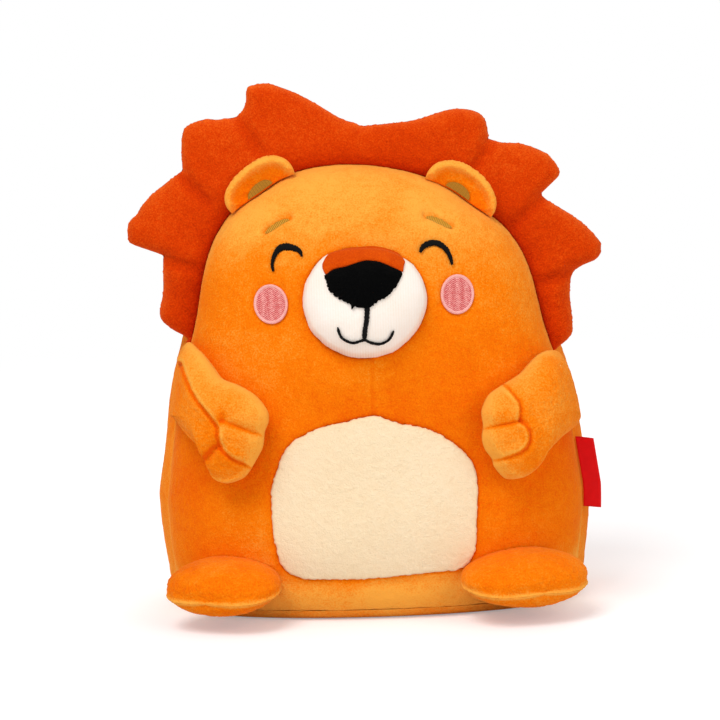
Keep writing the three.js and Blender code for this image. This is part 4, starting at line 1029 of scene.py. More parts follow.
for name, shares, half, taper in (
    ("left", eye_left_shares, 1.65 * mm, widths(0.33, 0.45, 0.6, 0.82, 1.0, 0.9, 0.66, 0.3)),
    ("right", eye_right_shares, 1.4 * mm, widths(0.45, 0.9, 1.0, 0.95, 0.88, 0.75, 0.6, 0.35)),
):
    eye = satin_line(f"eye_{name}_satin", curve(place(shares), 60), half, taper, black_thread, on_dent(eye_sunk))
    set_in(eye, "body", "black_thread", f"eye_stitching_{name}")
for name, shares in (("left", brow_left_shares), ("right", brow_right_shares)):
    brow = satin_line(f"brow_{name}_satin", curve(place(shares), 40), 1.65 * mm, both_ends, gold_thread,
                      on_dent(brow_sunk), pitch=brow_pitch)
    set_in(brow, "body", "gold_thread", f"brow_stitching_{name}")

mouth_line_shares = [(-10, 699), (-15, 671), (-23, 651), (-27, 632)]
mouth_curve_shares = [
    (-142, 659), (-136, 646), (-127, 637), (-112, 631), (-90, 626), (-69, 625), (-47, 628), (-25, 630),
    (-3, 625), (32, 621), (58, 623), (80, 629), (92, 637), (103, 648),
]


def even_ends(share):
    """The same width all along, rounded off in the last twentieth."""
    return np.sqrt(np.clip(np.minimum(share, 1 - share) * 20, 0.02, 1))


strokes = [
    satin_line("mouth_stroke", curve(place(shares), 80), half, even_ends, black_thread, on_muzzle)
    for shares, half in ((mouth_line_shares, 1.1 * mm), (mouth_curve_shares, 0.62 * mm))
]
with bpy.context.temp_override(active_object=strokes[0], selected_editable_objects=strokes, object=strokes[0],
                               selected_objects=strokes):
    bpy.ops.object.join()
mouth = strokes[0]
mouth.name = "mouth_satin"
set_in(mouth, "body", "black_thread", "mouth_stitching")

for name, share in (("left", cheek_left_share), ("right", cheek_right_share)):
    turn = np.linspace(0, 2 * np.pi, cheek_turns, endpoint=False)
    ring = np.stack([np.cos(turn) * cheek_half_width, np.sin(turn) * cheek_half_height], -1)
    scales = np.concatenate([np.linspace(0.02, 0.84, 42), np.linspace(0.855, 1, 12)])
    flat = place(share) + ring * scales[:, None, None]
    rim = smooth(scales, 0.82, 0.86)[:, None]
    spokes = np.abs(np.sin(turn * cheek_spokes)) ** 0.7
    column = (flat[..., 0] - place(share)[0]) / cheek_column
    lean = np.where(np.floor(column) % 2 == 0, 1.0, -1.0)
    rows = np.abs(np.sin(np.pi * ((flat[..., 1] / cheek_row) + 1.6 * lean * (column % 1)))) ** 0.8
    rows = rows * (0.3 + 0.7 * np.abs(np.sin(np.pi * column)) ** 0.35)
    arch = np.sqrt(np.clip(1 - ((scales[:, None] - ring_middle) / ring_half) ** 2, 0, 1))
    ridge = rows * (1 - rim) + spokes * rim
    top = thread_height * ((0.45 + 0.3 * rows) * (1 - rim) + (0.25 + 0.75 * arch * (0.8 + 0.2 * spokes)) * rim)
    upper = on_front(flat, gap - cheek_sunk + top)
    lower = on_front(place(share) + ring * np.array([1.0, 0.6, 0.2])[:, None, None], gap - cheek_back)
    poles = on_front(np.tile(place(share), (2, 1)), np.array([gap - 0.3 * mm, gap - cheek_back]))
    # The marks paint a lighter ring at the edge, with painted highlight on its stitches' ridges.
    marks = np.vstack([rim * (0.55 + 0.3 * ridge), np.zeros((3, len(turn)))])
    cheek = loft(f"cheek_{name}_satin", np.vstack([upper, lower]), poles, pink_thread, marks)
    set_in(cheek, "body", "pink_thread", f"cheek_stitching_{name}")

# Mane: two layers of rust plush sewn together round a spiky outline, turned, padded with thin wadding
# and caught in the seam between the front and the gussets. It creases inwards from each notch.
mane_reach, mane_puff, mane_lean, mane_root = 50 * mm, 5.2 * mm, 0.22, -0.4 * mm
mane_roll, mane_rise, mane_least, mane_fuzz, fuzz_size = 8 * mm, 12 * mm, 0.25 * mm, 0.45 * mm, 0.8 * mm
seam_length, rim_steps, crease_length, crease_depth, crease_width = 0.235, 1280, 19 * mm, 1.6, 3 * mm
mane_left_shares = [
    (400, 55), (408, 55), (418, 239), (436, 347), (484, 355), (540, 403), (548, 431), (552, 699),
    (556, 755), (562, 775), (576, 799), (586, 787), (594, 755), (614, 731), (668, 607), (676, 623),
    (694, 815), (700, 859), (706, 875), (736, 831), (778, 751), (802, 691), (818, 747), (826, 851),
    (832, 879), (852, 851), (870, 775), (944, 455), (978, 379),
]
mane_right_shares = [
    (1000, 359), (926, 463), (872, 655), (840, 727), (820, 711), (802, 599), (792, 583), (702, 747),
    (686, 759), (672, 735), (665, 679), (661, 451), (584, 643), (554, 711), (548, 707), (536, 675),
    (529, 615), (525, 467), (514, 371), (480, 315), (402, 235), (380, 39),
]
notch_places = [0.542, 0.668, 0.802, 2 - 0.792, 2 - 0.661, 2 - 0.52]
rust = plush("rust_plush", (176, 38, 0), (212, 60, 0), (238, 100, 22), (255, 140, 80), 0.45, 30.0, patchy=0.5)

spokes = [(v / 1000, reach / 1000) for v, reach in mane_left_shares]
spokes += [(2 - v / 1000, reach / 1000) for v, reach in mane_right_shares]
rim = curve([(w * seam_length, reach * mane_reach) for w, reach in spokes], rim_steps + 1)
rim_place, rim_reach = np.maximum.accumulate(rim[:, 0]) / seam_length, rim[:, 1]


def mane_point(w, reach, side_lift):
    """A point of the mane: past the seam by its reach, leaning back with it, lifted to the front or
    back."""
    v = np.where(w <= 1, w, 2 - w)
    return past_seam(w, mane_root + reach, front_seam_y(height_at(v)) + mane_lean * (mane_root + reach) + side_lift)


rim_line = mane_point(rim_place, rim_reach, 0)[:, [0, 2]]
along, which = np.meshgrid(spread(52), np.arange(rim_steps + 1), indexing="ij")
w, reach = rim_place[which], rim_reach[which] * along
middle_sheet = mane_point(w, reach, 0)
flat = middle_sheet[..., [0, 2]]
rim_away = apart(flat, rim_line)
rim_away[-1] = 0
foot_away = np.minimum(w - rim_place[0], rim_place[-1] - w) * seam_length
edge_away = np.minimum(rim_away, foot_away + 0.2 * mm)
full = quarter(edge_away / mane_roll)
full = full * (0.1 + 0.9 * quarter(reach / mane_rise))
fuzz = mane_fuzz * np.clip(lumps(middle_sheet, fuzz_size, 24), -1, 1) * smooth(along, 0.95, 1)
crease = np.zeros_like(reach)
for place_up in notch_places:
    depth = np.interp(place_up, rim_place, rim_reach)
    line = mane_point(np.array([place_up, place_up]), np.array([depth, depth - crease_length]), 0)[:, [0, 2]]
    away = apart(flat, line)
    crease += crease_depth * bell(away, crease_width) - 0.5 * bell(away - 6 * mm, 3.4 * mm)
room = np.full_like(reach, mane_puff)
for face, name in ((-1, "front"), (1, "back")):
    soft = 1.1 * lumps(middle_sheet, 26 * mm, 20 + face) + 0.5 * lumps(middle_sheet, 11 * mm, 23 + face)
    thick = full * ((mane_puff + thin_cloth) + (soft - crease) * mm) + mane_least + pile(middle_sheet, 1.6)
    outer = mane_point(w, reach + fuzz, face * np.maximum(thick, mane_least))
    hollow = np.maximum(thick - thin_cloth - 0.2 * mm, 0.12 * mm)
    room = np.minimum(room, hollow)
    inner = mane_point(w, reach, face * hollow)
    # Painted light on the mane: painted shade at its root by the head and in its creases, and a painted highlight
    # along its rim.
    marks = 0.7 * fade(reach, 6 * mm) - 0.6 * fade(edge_away, 1.8 * mm) + 0.2 * np.clip(crease, 0, 2)
    layer = cloth_sheet(f"mane_{name}_cloth", outer, inner, rust, marks)
    set_in(layer, "body", "rust_minky", f"mane_{name}_layer")

inside = np.flatnonzero((rim_place > rim_place[0] + 0.02) & (rim_place < rim_place[-1] - 0.02))[::4]
inside = inside[: (len(inside) - 1) // 4 * 4 + 1]
levels = np.searchsorted(spread(52), np.linspace(0.17, 0.83, 13))
w, reach = w[levels][:, inside], reach[levels][:, inside]
thick = room[levels][:, inside] * (0.75 + 0.1 * lumps(mane_point(w, reach, 0), 8 * mm, 26))
wadding = cloth_sheet("mane_filling", mane_point(w, reach, -thick), mane_point(w, reach, thick), filling)
set_in(wadding, "body", "polyester_fill", "mane_wadding")

# Ears: two half discs of plush sewn and turned, their rims plump and their middles cupped, standing
# before the mane. Their roots are pinched flat in the head seam, so that they can fold forward. A
# gold stitched patch lies low in each cup.
ear_height, ear_puff, ear_forward, ear_cup, ear_span = 13.8 * mm, 1.8 * mm, 7.9 * mm, 2.6 * mm, 0.085
ear_root, ear_corner, rim_width, ear_least, ear_back = -0.35 * mm, 0.12, 2.3 * mm, 0.4 * mm, 0.35 * mm
roll_height, roll_place, roll_width = 2.9 * mm, 2.2 * mm, 2.3 * mm
patch_width, patch_foot, patch_rise, patch_clear = 0.4, 0.05, 0.29, 1.05 * mm


def dome(share, power):
    """The square root of one less the share to a power."""
    return np.sqrt(np.clip(1 - np.abs(share) ** power, 0, 1))


def ear_reach(across, along):
    """The half disc's reach: a share along of a dome of the share across, a little high at its corners."""
    return ear_height * along * (ear_corner + (1 - ear_corner) * dome(across, 2.6))


def ear_point(w0, across, along, side_lift):
    """A place of the ear past the seam about the place w0, cupped by the square of the share across."""
    turned = -1 if w0 > 1 else 1
    reach = ear_root + ear_reach(across, along)
    v0 = w0 if w0 < 1 else 2 - w0
    y = front_seam_y(height_at(v0)) - ear_forward - ear_cup * across**2 + side_lift
    return past_seam(w0 + turned * across * ear_span, reach, y)


for name, w0, patch_middle in (("left", 0.768, -0.11), ("right", 2 - 0.791, 0.045)):
    across, along = np.meshgrid(2 * spread(104) - 1, spread(56))
    drawn = ear_point(w0, across, along, 0)[..., [0, 2]]
    rim_line = np.vstack([drawn[:, 0], drawn[-1, 1:], drawn[::-1, -1][1:]])
    d = apart(drawn, rim_line)
    edge = quarter(d / rim_width)
    p = ear_point(w0, across, along, 0)
    cup = ear_least + edge * (ear_least + roll_height * bell(np.clip(d - roll_place, 0, 1), roll_width))
    cup = np.minimum(cup, ear_least + 0.9 * ear_reach(across, along))
    rear = ear_back + edge * (thin_cloth + ear_puff * np.sin(np.pi * np.clip(along, 0, 1) ** 0.9) ** 0.8)
    for face, lift, layer in ((-1, cup, "front"), (1, rear, "back")):
        lift = lift + edge * smooth(along, 0, 0.15) * (0.35 * mm * lumps(p, 6 * mm, 30) + pile(p, 1.8))
        fuzz = 0.025 * np.clip(lumps(p, fuzz_size, 31), -1, 1) * smooth(d, 1.5 * mm, 0)
        outer = ear_point(w0, across, along + fuzz * along, face * lift)
        inner = ear_point(w0, across, along, face * np.maximum(lift - thin_cloth, 0.15 * mm))
        # Painted light on the ear: painted shade at its root, a painted highlight round its rim and, on the front,
        # painted shade deeper in the cup.
        marks = 0.6 * fade(along * ear_height, 3 * mm) - 0.9 * bell(d, 4.2 * mm)
        if face < 0:
            marks = marks + 0.35 * smooth(d, 3 * mm, 6 * mm)
        ear = cloth_sheet(f"ear_{name}_{layer}_cloth", outer, inner, orange, marks)
        set_in(ear, f"ear_{name}", "orange_minky", f"ear_{name}_{layer}_panel")
    share, along = np.meshgrid(2 * np.linspace(0, 1, 49) - 1, np.linspace(0, 1, 33))
    across = patch_middle + patch_width * share
    round_top = patch_foot + patch_rise * along * dome(share, 2.2)
    ridge = np.abs(np.sin(np.pi * across * 24)) ** 0.7
    lift = patch_clear + 0.45 * mm * ridge * dome(share, 4) + 0.3 * mm
    # The stitches' ridges are painted lighter: painted highlight.
    patch = cloth_sheet(f"ear_{name}_patch_satin", ear_point(w0, across, round_top, -lift),
                        ear_point(w0, across, round_top, -0.9 * mm + 0 * lift), gold_thread, ridge * 0.6)
    set_in(patch, f"ear_{name}", "gold_thread", f"ear_{name}_inner_stitching")

# Arms: stuffed mittens sewn into the side seams, two plush shapes each, lying across the chest. The
# fingers are marked off by creases pulled in with thread.
arm_reach, arm_thickness, arm_clear = 77 * mm, 24 * mm, 0.8 * mm
arm_root_share, arm_swell_share, arm_seam_share, seam_slit = 0.1, 0.74, 0.4, 0.06 * mm
hand_middle, dent_start, dent_ease = (0.62, 0.46), 4 * mm, 9 * mm
step_ease, groove_depth, lip_height, lip_place, lip_width = 0.9 * mm, 0.9 * mm, 0.7 * mm, 2.6 * mm, 2 * mm
chest_arc = 1.2 * half_width
arm_left_shares = [
    (29, 455), (29, 550), (117, 592), (326, 608), (481, 597), (568, 583), (639, 566), (721, 543),
    (837, 530), (933, 510), (996, 481), (1007, 458), (990, 435), (982, 402), (947, 370), (901, 338),
    (845, 325), (794, 321), (735, 330), (701, 360), (670, 387), (570, 411), (420, 436), (195, 450),
]
arm_right_shares = [
    (29, 410), (29, 520), (117, 560), (263, 577), (410, 582), (481, 582), (564, 576), (645, 561),
    (730, 541), (865, 518), (939, 500), (984, 468), (984, 435), (996, 410), (987, 384), (957, 361),
    (948, 342), (908, 318), (870, 313), (803, 315), (736, 330), (706, 349), (663, 362), (601, 377),
    (505, 392), (352, 402), (200, 405),
]
eye_distance, eye_rise = 1300 * mm, math.radians(8)
eye_target = np.array([-4.95, -52, 118]) * mm
arm_creases = {
    "left": [
        (2.0, 1.0, [(-67.9, 91.3), (-64.3, 89.6), (-59.9, 87.9), (-55.4, 85.9), (-51.9, 84.9), (-50.1, 84)]),
        (2.8, 1.3, [(-69.6, 79.6), (-71.8, 79.7), (-74.2, 77.5), (-77.5, 74)]),
        (1.8, 1.8, [(-67.8, 94), (-68.8, 91.3)]),
    ],
    "right": [
        (2.0, 1.0, [(48.9, 84), (52.6, 84.6), (57.1, 85.3), (61.6, 86.1), (66.2, 87.1)]),
        (-0.5, 0.8, [(53.4, 98.3), (52.8, 92.4), (53.1, 86.6)]),
        (-0.5, 0.8, [(53.4, 82.1), (54.1, 76.6), (56.2, 72.5), (58, 69.8)]),
        (-0.5, 0.8, [(57.9, 69.3), (59.6, 66.1), (62.3, 63.3), (66.7, 61.8)]),
    ],
}
arm_steps = {
    "left": (-2.6, [
        (-86, 118), (-84.3, 112.5), (-81.8, 105.7), (-79.3, 101.1), (-76.3, 97), (-73.2, 92.8), (-70.2, 88.2),
        (-70.3, 84.6), (-69.6, 79.6), (-67.4, 76.9), (-64.8, 74.5), (-62.2, 73.1), (-59, 71.7), (-56.4, 70.2),
        (-48, 66), (-50, 40), (-120, 40), (-120, 118),
    ]),
    "right": (1.3, [
        (56.5, 106), (61.7, 101.6), (64.3, 98.4), (66.4, 95.2), (66.7, 91.6), (66.2, 87.1), (68.8, 85.2),
        (70.5, 82), (70.6, 78.4), (68.9, 74.8), (65.7, 72.7), (61.1, 71), (56.6, 70), (54.4, 69.9), (40, 69),
        (30, 69), (30, 110), (50, 110),
    ]),
}


def as_drawn(points):
    """Where points fall on a flat front drawing seen from the height of the picture: x and up, each
    scaled by the eye's distance over the point's own."""
    q = points - eye_target
    near = eye_distance / (eye_distance + q[..., 1] * math.cos(eye_rise) - q[..., 2] * math.sin(eye_rise))
    up = q[..., 1] * math.sin(eye_rise) + q[..., 2] * math.cos(eye_rise)
    return np.stack([q[..., 0] * near - 4.95 * mm, up * near + 116.8 * mm], -1)


for side, name, shares in ((-1, "left", arm_left_shares), (1, "right", arm_right_shares)):
    def on_chest(at, lift):
        """A place over the chest from its distance in from the seam and its height."""
        return skin(place_at(at[..., 1]), side * (1 - at[..., 0] / chest_arc), -1, lift)

    size = np.array([arm_reach, height])
    edge = curve(np.array(shares) / 1000 * size, 420, closed=True)
    centre = np.array(hand_middle) * size
    creases = [(depth * mm, width * mm, curve(np.array(line) * mm, 60)) for depth, width, line in arm_creases[name]]
    step_rise, step_line = arm_steps[name][0] * mm, np.array(arm_steps[name][1]) * mm
    radius = np.linalg.norm(edge - centre, axis=1)

    def full(at):
        """Thickness of the arm: thin at its root and full at the hand, by a smooth step."""
        swelling = smooth(at[..., 0], 0, arm_reach * arm_swell_share)
        return arm_thickness * (arm_root_share + (1 - arm_root_share) * swelling)

    def seam_lift(at):
        """Height of the arm's own seam over the chest."""
        return arm_clear + arm_seam_share * (full(at) - arm_clear)

    def dress(share, at, face, less):
        """Height of the outer (1) or palm (-1) face: the seam's height and a dome, less a thickness."""
        lift = seam_lift(at)
        rise = (full(at) - lift if face > 0 else lift - arm_clear) - less
        return lift + face * (seam_slit + np.maximum(rise, seam_slit) * dome(share, 2.3))

    def hand_dent(at, lift):
        """How the hand's thread and seams shape it, fading out towards the thin root: a cusp and a bell
        along each crease, and a step with a groove and a soft lip at the outline of its lower part."""
        seen = as_drawn(on_chest(at, lift))
        away = apart(seen, step_line, closed=True)
        dent = step_rise * smooth(-away, -step_ease, step_ease) - groove_depth * fade(np.abs(away), step_ease)
        dent = dent + lip_height * bell(np.abs(away) - lip_place, lip_width)
        for depth, width, line in creases:
            away = apart(seen, line)
            dent = dent - depth * (0.7 * fade(away, width) + 0.3 * bell(away, 3 * width))
        return dent * np.clip((full(at) - dent_start) / dent_ease, 0, 1)

    scales = np.sort(np.concatenate([np.linspace(0.012, 0.9, 64), np.sin(np.linspace(0.72, 1, 22) * np.pi / 2)]))
    rings_share = np.concatenate([scales, np.zeros(5)])
    for face, layer in ((1, "outer"), (-1, "palm")):
        def top(share, at):
            """The cloth's outer side: its face with lumps, pile and the hand's dents, which fade in from
            the edge by a smooth step, and never nearer to the seam than a cloth's thickness."""
            d = edge_depth(share, radius, at)
            lift = dress(share, at, face, 0)
            p = np.stack([at[:, 0], lift, at[:, 1]], -1)
            dent = 0.6 * mm * lumps(p, 15 * mm, 33) + pile(p, 1.8) + (hand_dent(at, lift) if face > 0 else 0)
            height_off = lift + face * dent * smooth(d, 0, 3 * mm)
            least = seam_slit + (thin_cloth + 0.4 * mm) * smooth(d, 0, 2 * mm)
            return seam_lift(at) + face * np.maximum(face * (height_off - seam_lift(at)), least)

        def underside(share, at):
            """The cloth's inner side, a thickness below its outer one and never past the seam."""
            lift = seam_lift(at)
            depth = face * (top(min(share, 0.97), at) - lift) - thin_cloth - lining
            return lift + face * (np.maximum(depth, seam_slit) if share < 1 else 2 * seam_slit)

        rings, poles = dish_rings(edge, centre, scales, top, underside, on_chest)
        # Painted light on the arm: a painted highlight at its edge; on the outer face painted shade along the creases
        # and the step's line, the raised side of the step painted paler, with a painted highlight along its ridge.
        marks = -0.9 * fade((1 - rings_share) * share_mm, 2.0)[:, None] * np.ones(len(edge))
        if face > 0:
            top_marks, seen = marks[: len(scales)], as_drawn(rings[: len(scales)])
            for depth, width, line in creases:
                top_marks += 0.9 * depth / (2 * mm) * bell(apart(seen, line), 0.9 * width)
            away = apart(seen, step_line, closed=True)
            low_side = smooth(side * away, -0.5 * mm, 0.5 * mm)
            top_marks += 1.1 * bell(away, 0.8 * mm) - 0.05 * low_side - 0.35 * (1 - low_side)
            top_marks -= 0.5 * bell(side * away + 1.5 * mm, 0.8 * mm)
        arm = loft(f"arm_{name}_{layer}_cloth", rings, poles, orange, marks)
        set_in(arm, f"arm_{name}", "orange_minky", f"arm_{name}_{layer}_panel")
        0.0038 if face > 0 else 0.003
    less = thin_cloth + fill_clear
    inner_edge = centre + (edge - centre) * (1 - less / radius.mean())
    inner_edge[:, 0] = np.maximum(inner_edge[:, 0], arm_reach / 8)

    def packed(share, at):
        """The filling's outer side, which gives way under the hand's creases."""
        lift = dress(share, at, 1, less * 1.2)
        return np.maximum(lift + np.minimum(hand_dent(at, lift), 0) - 0.3 * mm, seam_lift(at) + seam_slit / 2)

    rings, poles = dish_rings(inner_edge, centre, np.linspace(0.03, 0.97, 36), packed,
                              lambda share, at: dress(share, at, -1, less), on_chest)
    padding = loft(f"arm_{name}_filling", rings, poles, filling)
    set_in(padding, f"arm_{name}", "polyester_fill", f"arm_{name}_stuffing")

# Feet: stuffed pads of plush, a top and a sole, sewn on at the lower front corners with the toes
# turned a little out.
foot_reach, foot_half_height, foot_middle, foot_seat = 31 * mm, 12.5 * mm, 20.5 * mm, 10 * mm
foot_gap, foot_root, foot_drop, foot_end = 0.5 * mm, 0.84, 0.42, 0.62
foot_roll, ridge_width, foot_wave, foot_wave_size, foot_wave_ease = 0.3 * mm, 1.1 * mm, 0.7 * mm, 13 * mm, 8 * mm
sole_start, sole_end = -np.pi * 0.93, -np.pi * 0.07


def foot_place(side, turn, z, forward):
    """A place before the front skin at a turn and height, moved out level by a distance."""
    v = place_at(np.maximum(z, foot_seat))
    out = panel_normal(v, side * turn, -1) * (1, 1, 0)
    out = out / np.linalg.norm(out, axis=-1, keepdims=True)
    p = panel(v, side * turn, -1) + out * (foot_gap + forward)[..., None]
    p[..., 2] = z
    return p


def foot_point(side, half_wide, middle_turn, along, angle, lift):
    """The foot: a bent superellipse whose section shrinks to the toe as a power of the cosine while its
    middle sinks with the square of the sine."""
    arc = along * np.pi / 2
    end = np.clip(np.cos(arc), 0, 1) ** foot_end
    swell = foot_root + (1 - foot_root) * np.sin(2 * np.minimum(arc, np.pi / 4))
    middle = foot_middle - foot_drop * foot_half_height * np.sin(arc) ** 2
    turn = middle_turn + (half_wide + lift) * end * swell * np.cos(angle) / chest_arc
    z = middle + (foot_half_height + lift) * end * swell * np.sin(angle)
    return foot_place(side, turn, z, (foot_reach + lift) * np.sin(arc))


for side, name, half_wide, middle_turn in ((-1, "left", 26.3 * mm, 0.5), (1, "right", 29 * mm, 0.475)):
    slack = seam_slit / half_wide
    shape = (side, half_wide, middle_turn)
    for layer, start, end in (("top", sole_end, sole_start + 2 * np.pi), ("sole", sole_start, sole_end)):
        turn, along = np.meshgrid(start + slack + (end - start - 2 * slack) * spread(128), spread(80))
        drawn = foot_point(*shape, along, turn, 0 * along)
        run = edge_distance(drawn, 1)
        d = np.minimum(run, run[:, -1:] - run)
        ridge = 0.9 * bell(d, ridge_width) - 0.7 * fade(d, 4 * mm)
        lift = rolled(d, foot_roll) + (ridge + 0.3 * fade(d, 3 * mm) * lumps(drawn, 5 * mm, 40)) * mm
        swell = foot_wave * lumps(drawn, foot_wave_size, 41) * smooth(d, 0, foot_wave_ease)
        lift = lift + swell * smooth(along, 0, 0.2) + pile(drawn, 1.8)
        # The marks paint the foot a little deeper all over, a painted highlight along its seam's ridge and painted
        # shade at its root by the body.
        foot = cloth_sheet(f"foot_{name}_{layer}_cloth", foot_point(*shape, along, turn, lift),
                           foot_point(*shape, along, turn, np.minimum(-thin_cloth, lift - 0.4 * mm)), orange,
                           0.15 - 1.1 * bell(d, 1.8 * mm) + 0.5 * fade(along * foot_reach, 3 * mm))
        set_in(foot, f"foot_{name}", "orange_minky", f"foot_{name}_{layer}_panel")
        0.0022 if layer == "top" else 0.0018
    turn, along = np.meshgrid(np.linspace(0, 2 * np.pi, 64, endpoint=False), np.linspace(0.03, 0.93, 28))
    inset = 0 * along - thin_cloth - fill_clear
    rings = foot_point(*shape, along, turn, inset)
    last = rings[-1].mean(0)
    poles = np.array([rings[0].mean(0), last + (last - rings[-3].mean(0)) * 0.5])
    pad = loft(f"foot_{name}_filling", rings, poles, filling)
    set_in(pad, f"foot_{name}", "polyester_fill", f"foot_{name}_stuffing")

# Side label: a bare loop of red woven tape, folded over and caught in the right seam. Its free end
# hangs a little lower than its root and curls.
label_width, label_tape, label_top, label_foot = 9 * mm, 0.5 * mm, 0.37, 0.209
label_curl, label_waves, label_steps, label_turns = 0.5 * mm, 22, 14, 7


def tape(name):
    """Woven satin tape: fine crosswise ribs on a clear red."""
    f = Finish(name)
    ribs = f.wave("Z", 900.0, 0.4)
    colour = f.ramp(ribs * 0.5 + f.noise(300.0) * 0.5, (0.2, (212, 0, 4)), (0.9, (238, 6, 10)))
    return f.surface(colour, ribs, 0.05 * mm, 0.5, specular=0.12)


half = label_tape + gap
bend = np.linspace(0.15, 0.85, label_turns) * np.pi
way_out = np.linspace(2 * gap, label_width - half, label_steps)
way_back = way_out[:1:-1]
reach = np.concatenate([way_out, label_width - half + half * np.sin(bend), way_back])
fold = np.concatenate([np.full(len(way_out), -half), -half * np.cos(bend), np.full(len(way_back), half)])
levels = np.linspace(label_foot, label_top, 49)
reach, z = np.meshgrid(reach, height * levels)
fold = np.broadcast_to(fold, reach.shape)
curl = label_curl * np.sin((z / height - label_foot) * label_waves) * reach / label_width


def label_point(reach, fold):
    """The tape past the right seam: its reach out and its place across the fold, curling a little. It
    hangs lower the further it reaches, most of all at its top."""
    low = z - reach * np.interp(z / height, [label_foot, label_top], [0.06, 0.3])
    return past_seam(2 - place_at(low), reach, front_seam_y(low) - half - gap + fold + curl)


outer = label_point(reach, fold)
inner = label_point(np.minimum(reach, label_width - label_tape), fold * gap / half)
label = cloth_sheet("side_label_tape", outer, inner, tape("red_tape"))
set_in(label, "body", "red_tape", "side_label")

# Tail: a short stuffed cord of plush with a fuller tuft, sewn to the middle of the back. It leaves the
# back level and bends down along it.
tail_radius, tuft_radius, tail_length, tail_root, tuft_start = 6.2 * mm, 11.5 * mm, 62 * mm, 0.33, 0.52
tail_steps = 400
root_z = tail_root * height
root_y = panel(place_at(root_z), 0.0, 1)[1]
clear = tuft_radius + gap
tail_line = curve([
    (root_y + 2 * gap, root_z), (root_y + clear * 0.75, root_z - tail_length * 0.03),
    (root_y + clear * 1.15, root_z - tail_length * 0.35), (root_y + clear, root_z - tail_length * 0.85),
], tail_steps)


def tail_rings(start, end, radius, steps, around=96):
    """Circles round the tail's line between two shares of it, with the radius at each."""
    share = np.linspace(start, end, steps)
    at = np.stack([np.interp(share, np.linspace(0, 1, tail_steps), tail_line[:, k]) for k in (0, 1)], -1)
    tangent = np.gradient(at, axis=0)
    tangent /= np.linalg.norm(tangent, axis=1, keepdims=True)
    angle = np.linspace(0, 2 * np.pi, around, endpoint=False)
    r = radius[:, None]
    return np.stack(np.broadcast_arrays(r * np.cos(angle), at[:, :1] - tangent[:, 1:] * r * np.sin(angle),
                                        at[:, 1:] + tangent[:, :1] * r * np.sin(angle)), -1)


part = np.linspace(0, 1, 90)
cord_radius = tail_radius * (1 - 0.25 * part) * quarter(np.maximum(part / 0.04, 0.05))
tuft_form = tuft_radius * (0.4 + 0.6 * np.sin(np.pi * part**0.8)) * (1 - 0.6 * part**4)
tuft_form = tuft_form * quarter(np.maximum((1 - part) / 0.08, 0.02))
for name, start, end, radius, finish, slot in (
    ("cord", gap / tail_length, tuft_start - gap / tail_length, cord_radius, orange, "orange_minky"),
    ("tuft", tuft_start, 1.0, tuft_form, rust, "rust_minky"),
):
    rings = tail_rings(start, end, radius, len(part))
    core = rings.mean(1, keepdims=True)
    out = (rings - core) / np.maximum(np.linalg.norm(rings - core, axis=-1, keepdims=True), 1e-9)
    rings = rings + out * (pile(rings, 2.0) + 0.3 * mm * lumps(rings, 5 * mm, 50))[..., None]
    # Painted shade where the cord leaves the back and where the tuft leaves the cord.
    seam = 0.8 * fade(part * (end - start) * tail_length, 2 * mm)[:, None]
    tail = loft(f"tail_{name}_cloth", rings, core[[0, -1], 0], finish, seam)
    set_in(tail, "tail", slot, f"tail_{name}")

# Room: a plain white table under soft lights, the main one high on the left, and the camera a little
# above the animal, tilted as the picture is.
table_half, clear_near, clear_far, near_glow, room_light = 4.0, 0.45, 0.9, 0.28, 0.55


def stage_finish():
    """White that takes the object's shadow nearby and goes over, by a smooth step of the distance from
    the middle, to a plain white where no shadow falls, for the rays that see it in the picture: the
    camera's, mirrored and passing ones. Other rays meet it as cloth."""
    f = Finish("table_white")
    camera_ray, glossy_ray, passing_ray = (
        f.add("ShaderNodeLightPath", out=ray) for ray in ("Is Camera Ray", "Is Glossy Ray", "Is Transmission Ray"))
    away = f.add("ShaderNodeVectorMath", {"operation": "LENGTH"}, {0: f.at}, "Value")
    far = f.add("ShaderNodeMapRange", {"interpolation_type": "SMOOTHSTEP"},
                {"Value": away, "From Min": clear_near, "From Max": clear_far})
    white = f.add("ShaderNodeBsdfDiffuse", {}, {"Color": (0.8, 0.8, 0.8, 1)})
    glow, plain = (f.add("ShaderNodeEmission", {}, {"Color": (1, 1, 1, 1), "Strength": power})
                   for power in (near_glow, 1.0))
    lit = f.add("ShaderNodeAddShader", {}, {0: white, 1: glow})
    near = f.add("ShaderNodeMixShader", {}, {0: far, 1: lit, 2: plain})
    return f.finished(f.add("ShaderNodeMixShader", {}, {0: camera_ray + glossy_ray + passing_ray, 1: white, 2: near}))


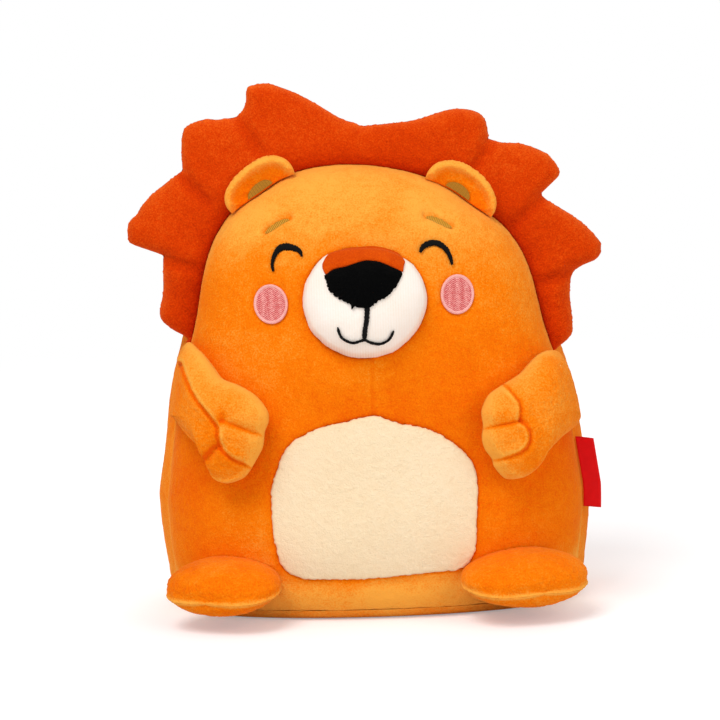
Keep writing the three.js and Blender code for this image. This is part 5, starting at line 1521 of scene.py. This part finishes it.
table = bpy.data.meshes.new("table")
corners = [(x * table_half, y * table_half, 0) for x, y in ((-1, -1), (1, -1), (1, 1), (-1, 1))]
table.from_pydata(corners, [], [[0, 1, 2, 3]])
table.materials.append(stage_finish())
put("table", table)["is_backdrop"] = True

world = bpy.data.worlds.new("room")
bpy.context.scene.world = world
world.use_nodes = True
nodes, links = world.node_tree.nodes, world.node_tree.links
nodes.clear()
path, out = nodes.new("ShaderNodeLightPath"), nodes.new("ShaderNodeOutputWorld")
dim, bright = nodes.new("ShaderNodeBackground"), nodes.new("ShaderNodeBackground")
mix = nodes.new("ShaderNodeMixShader")
dim.inputs["Strength"].default_value = room_light
bright.inputs["Color"].default_value = dim.inputs["Color"].default_value = (1, 1, 1, 1)
links.new(path.outputs["Is Camera Ray"], mix.inputs[0])
links.new(dim.outputs[0], mix.inputs[1])
links.new(bright.outputs[0], mix.inputs[2])
links.new(mix.outputs[0], out.inputs["Surface"])

for name, spot, size, power in (
    ("main_light", (-0.6, -0.95, 1.65), 1.0, 19.0), ("fill_light", (1.1, -1.2, 0.7), 1.0, 6.0),
    ("back_light", (0.3, 1.2, 1.2), 0.9, 6.0),
):
    lamp = bpy.data.lights.new(name, "AREA")
    lamp.size, lamp.energy = size, power
    holder = put(name, lamp)
    holder.location = spot
    holder.rotation_euler = (Vector((0, 0, 0.1)) - Vector(spot)).to_track_quat("-Z", "Y").to_euler()

picture_width, roll = 324 * mm, math.radians(-1.8)
camera = bpy.data.cameras.new("camera")
camera.sensor_width = 36
camera.lens = camera.sensor_width * eye_distance / picture_width
camera.clip_end = 50
viewer = put("camera", camera)
back_way = Vector((0, -math.cos(eye_rise), math.sin(eye_rise)))
facing = (-back_way).to_track_quat("-Z", "Y").to_matrix().to_4x4() @ Matrix.Rotation(roll, 4, "Z")
viewer.matrix_world = Matrix.Translation(Vector(eye_target) + back_way * eye_distance) @ facing
bpy.context.scene.camera = viewer
bpy.context.scene.view_settings.view_transform = "Standard"

low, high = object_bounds()
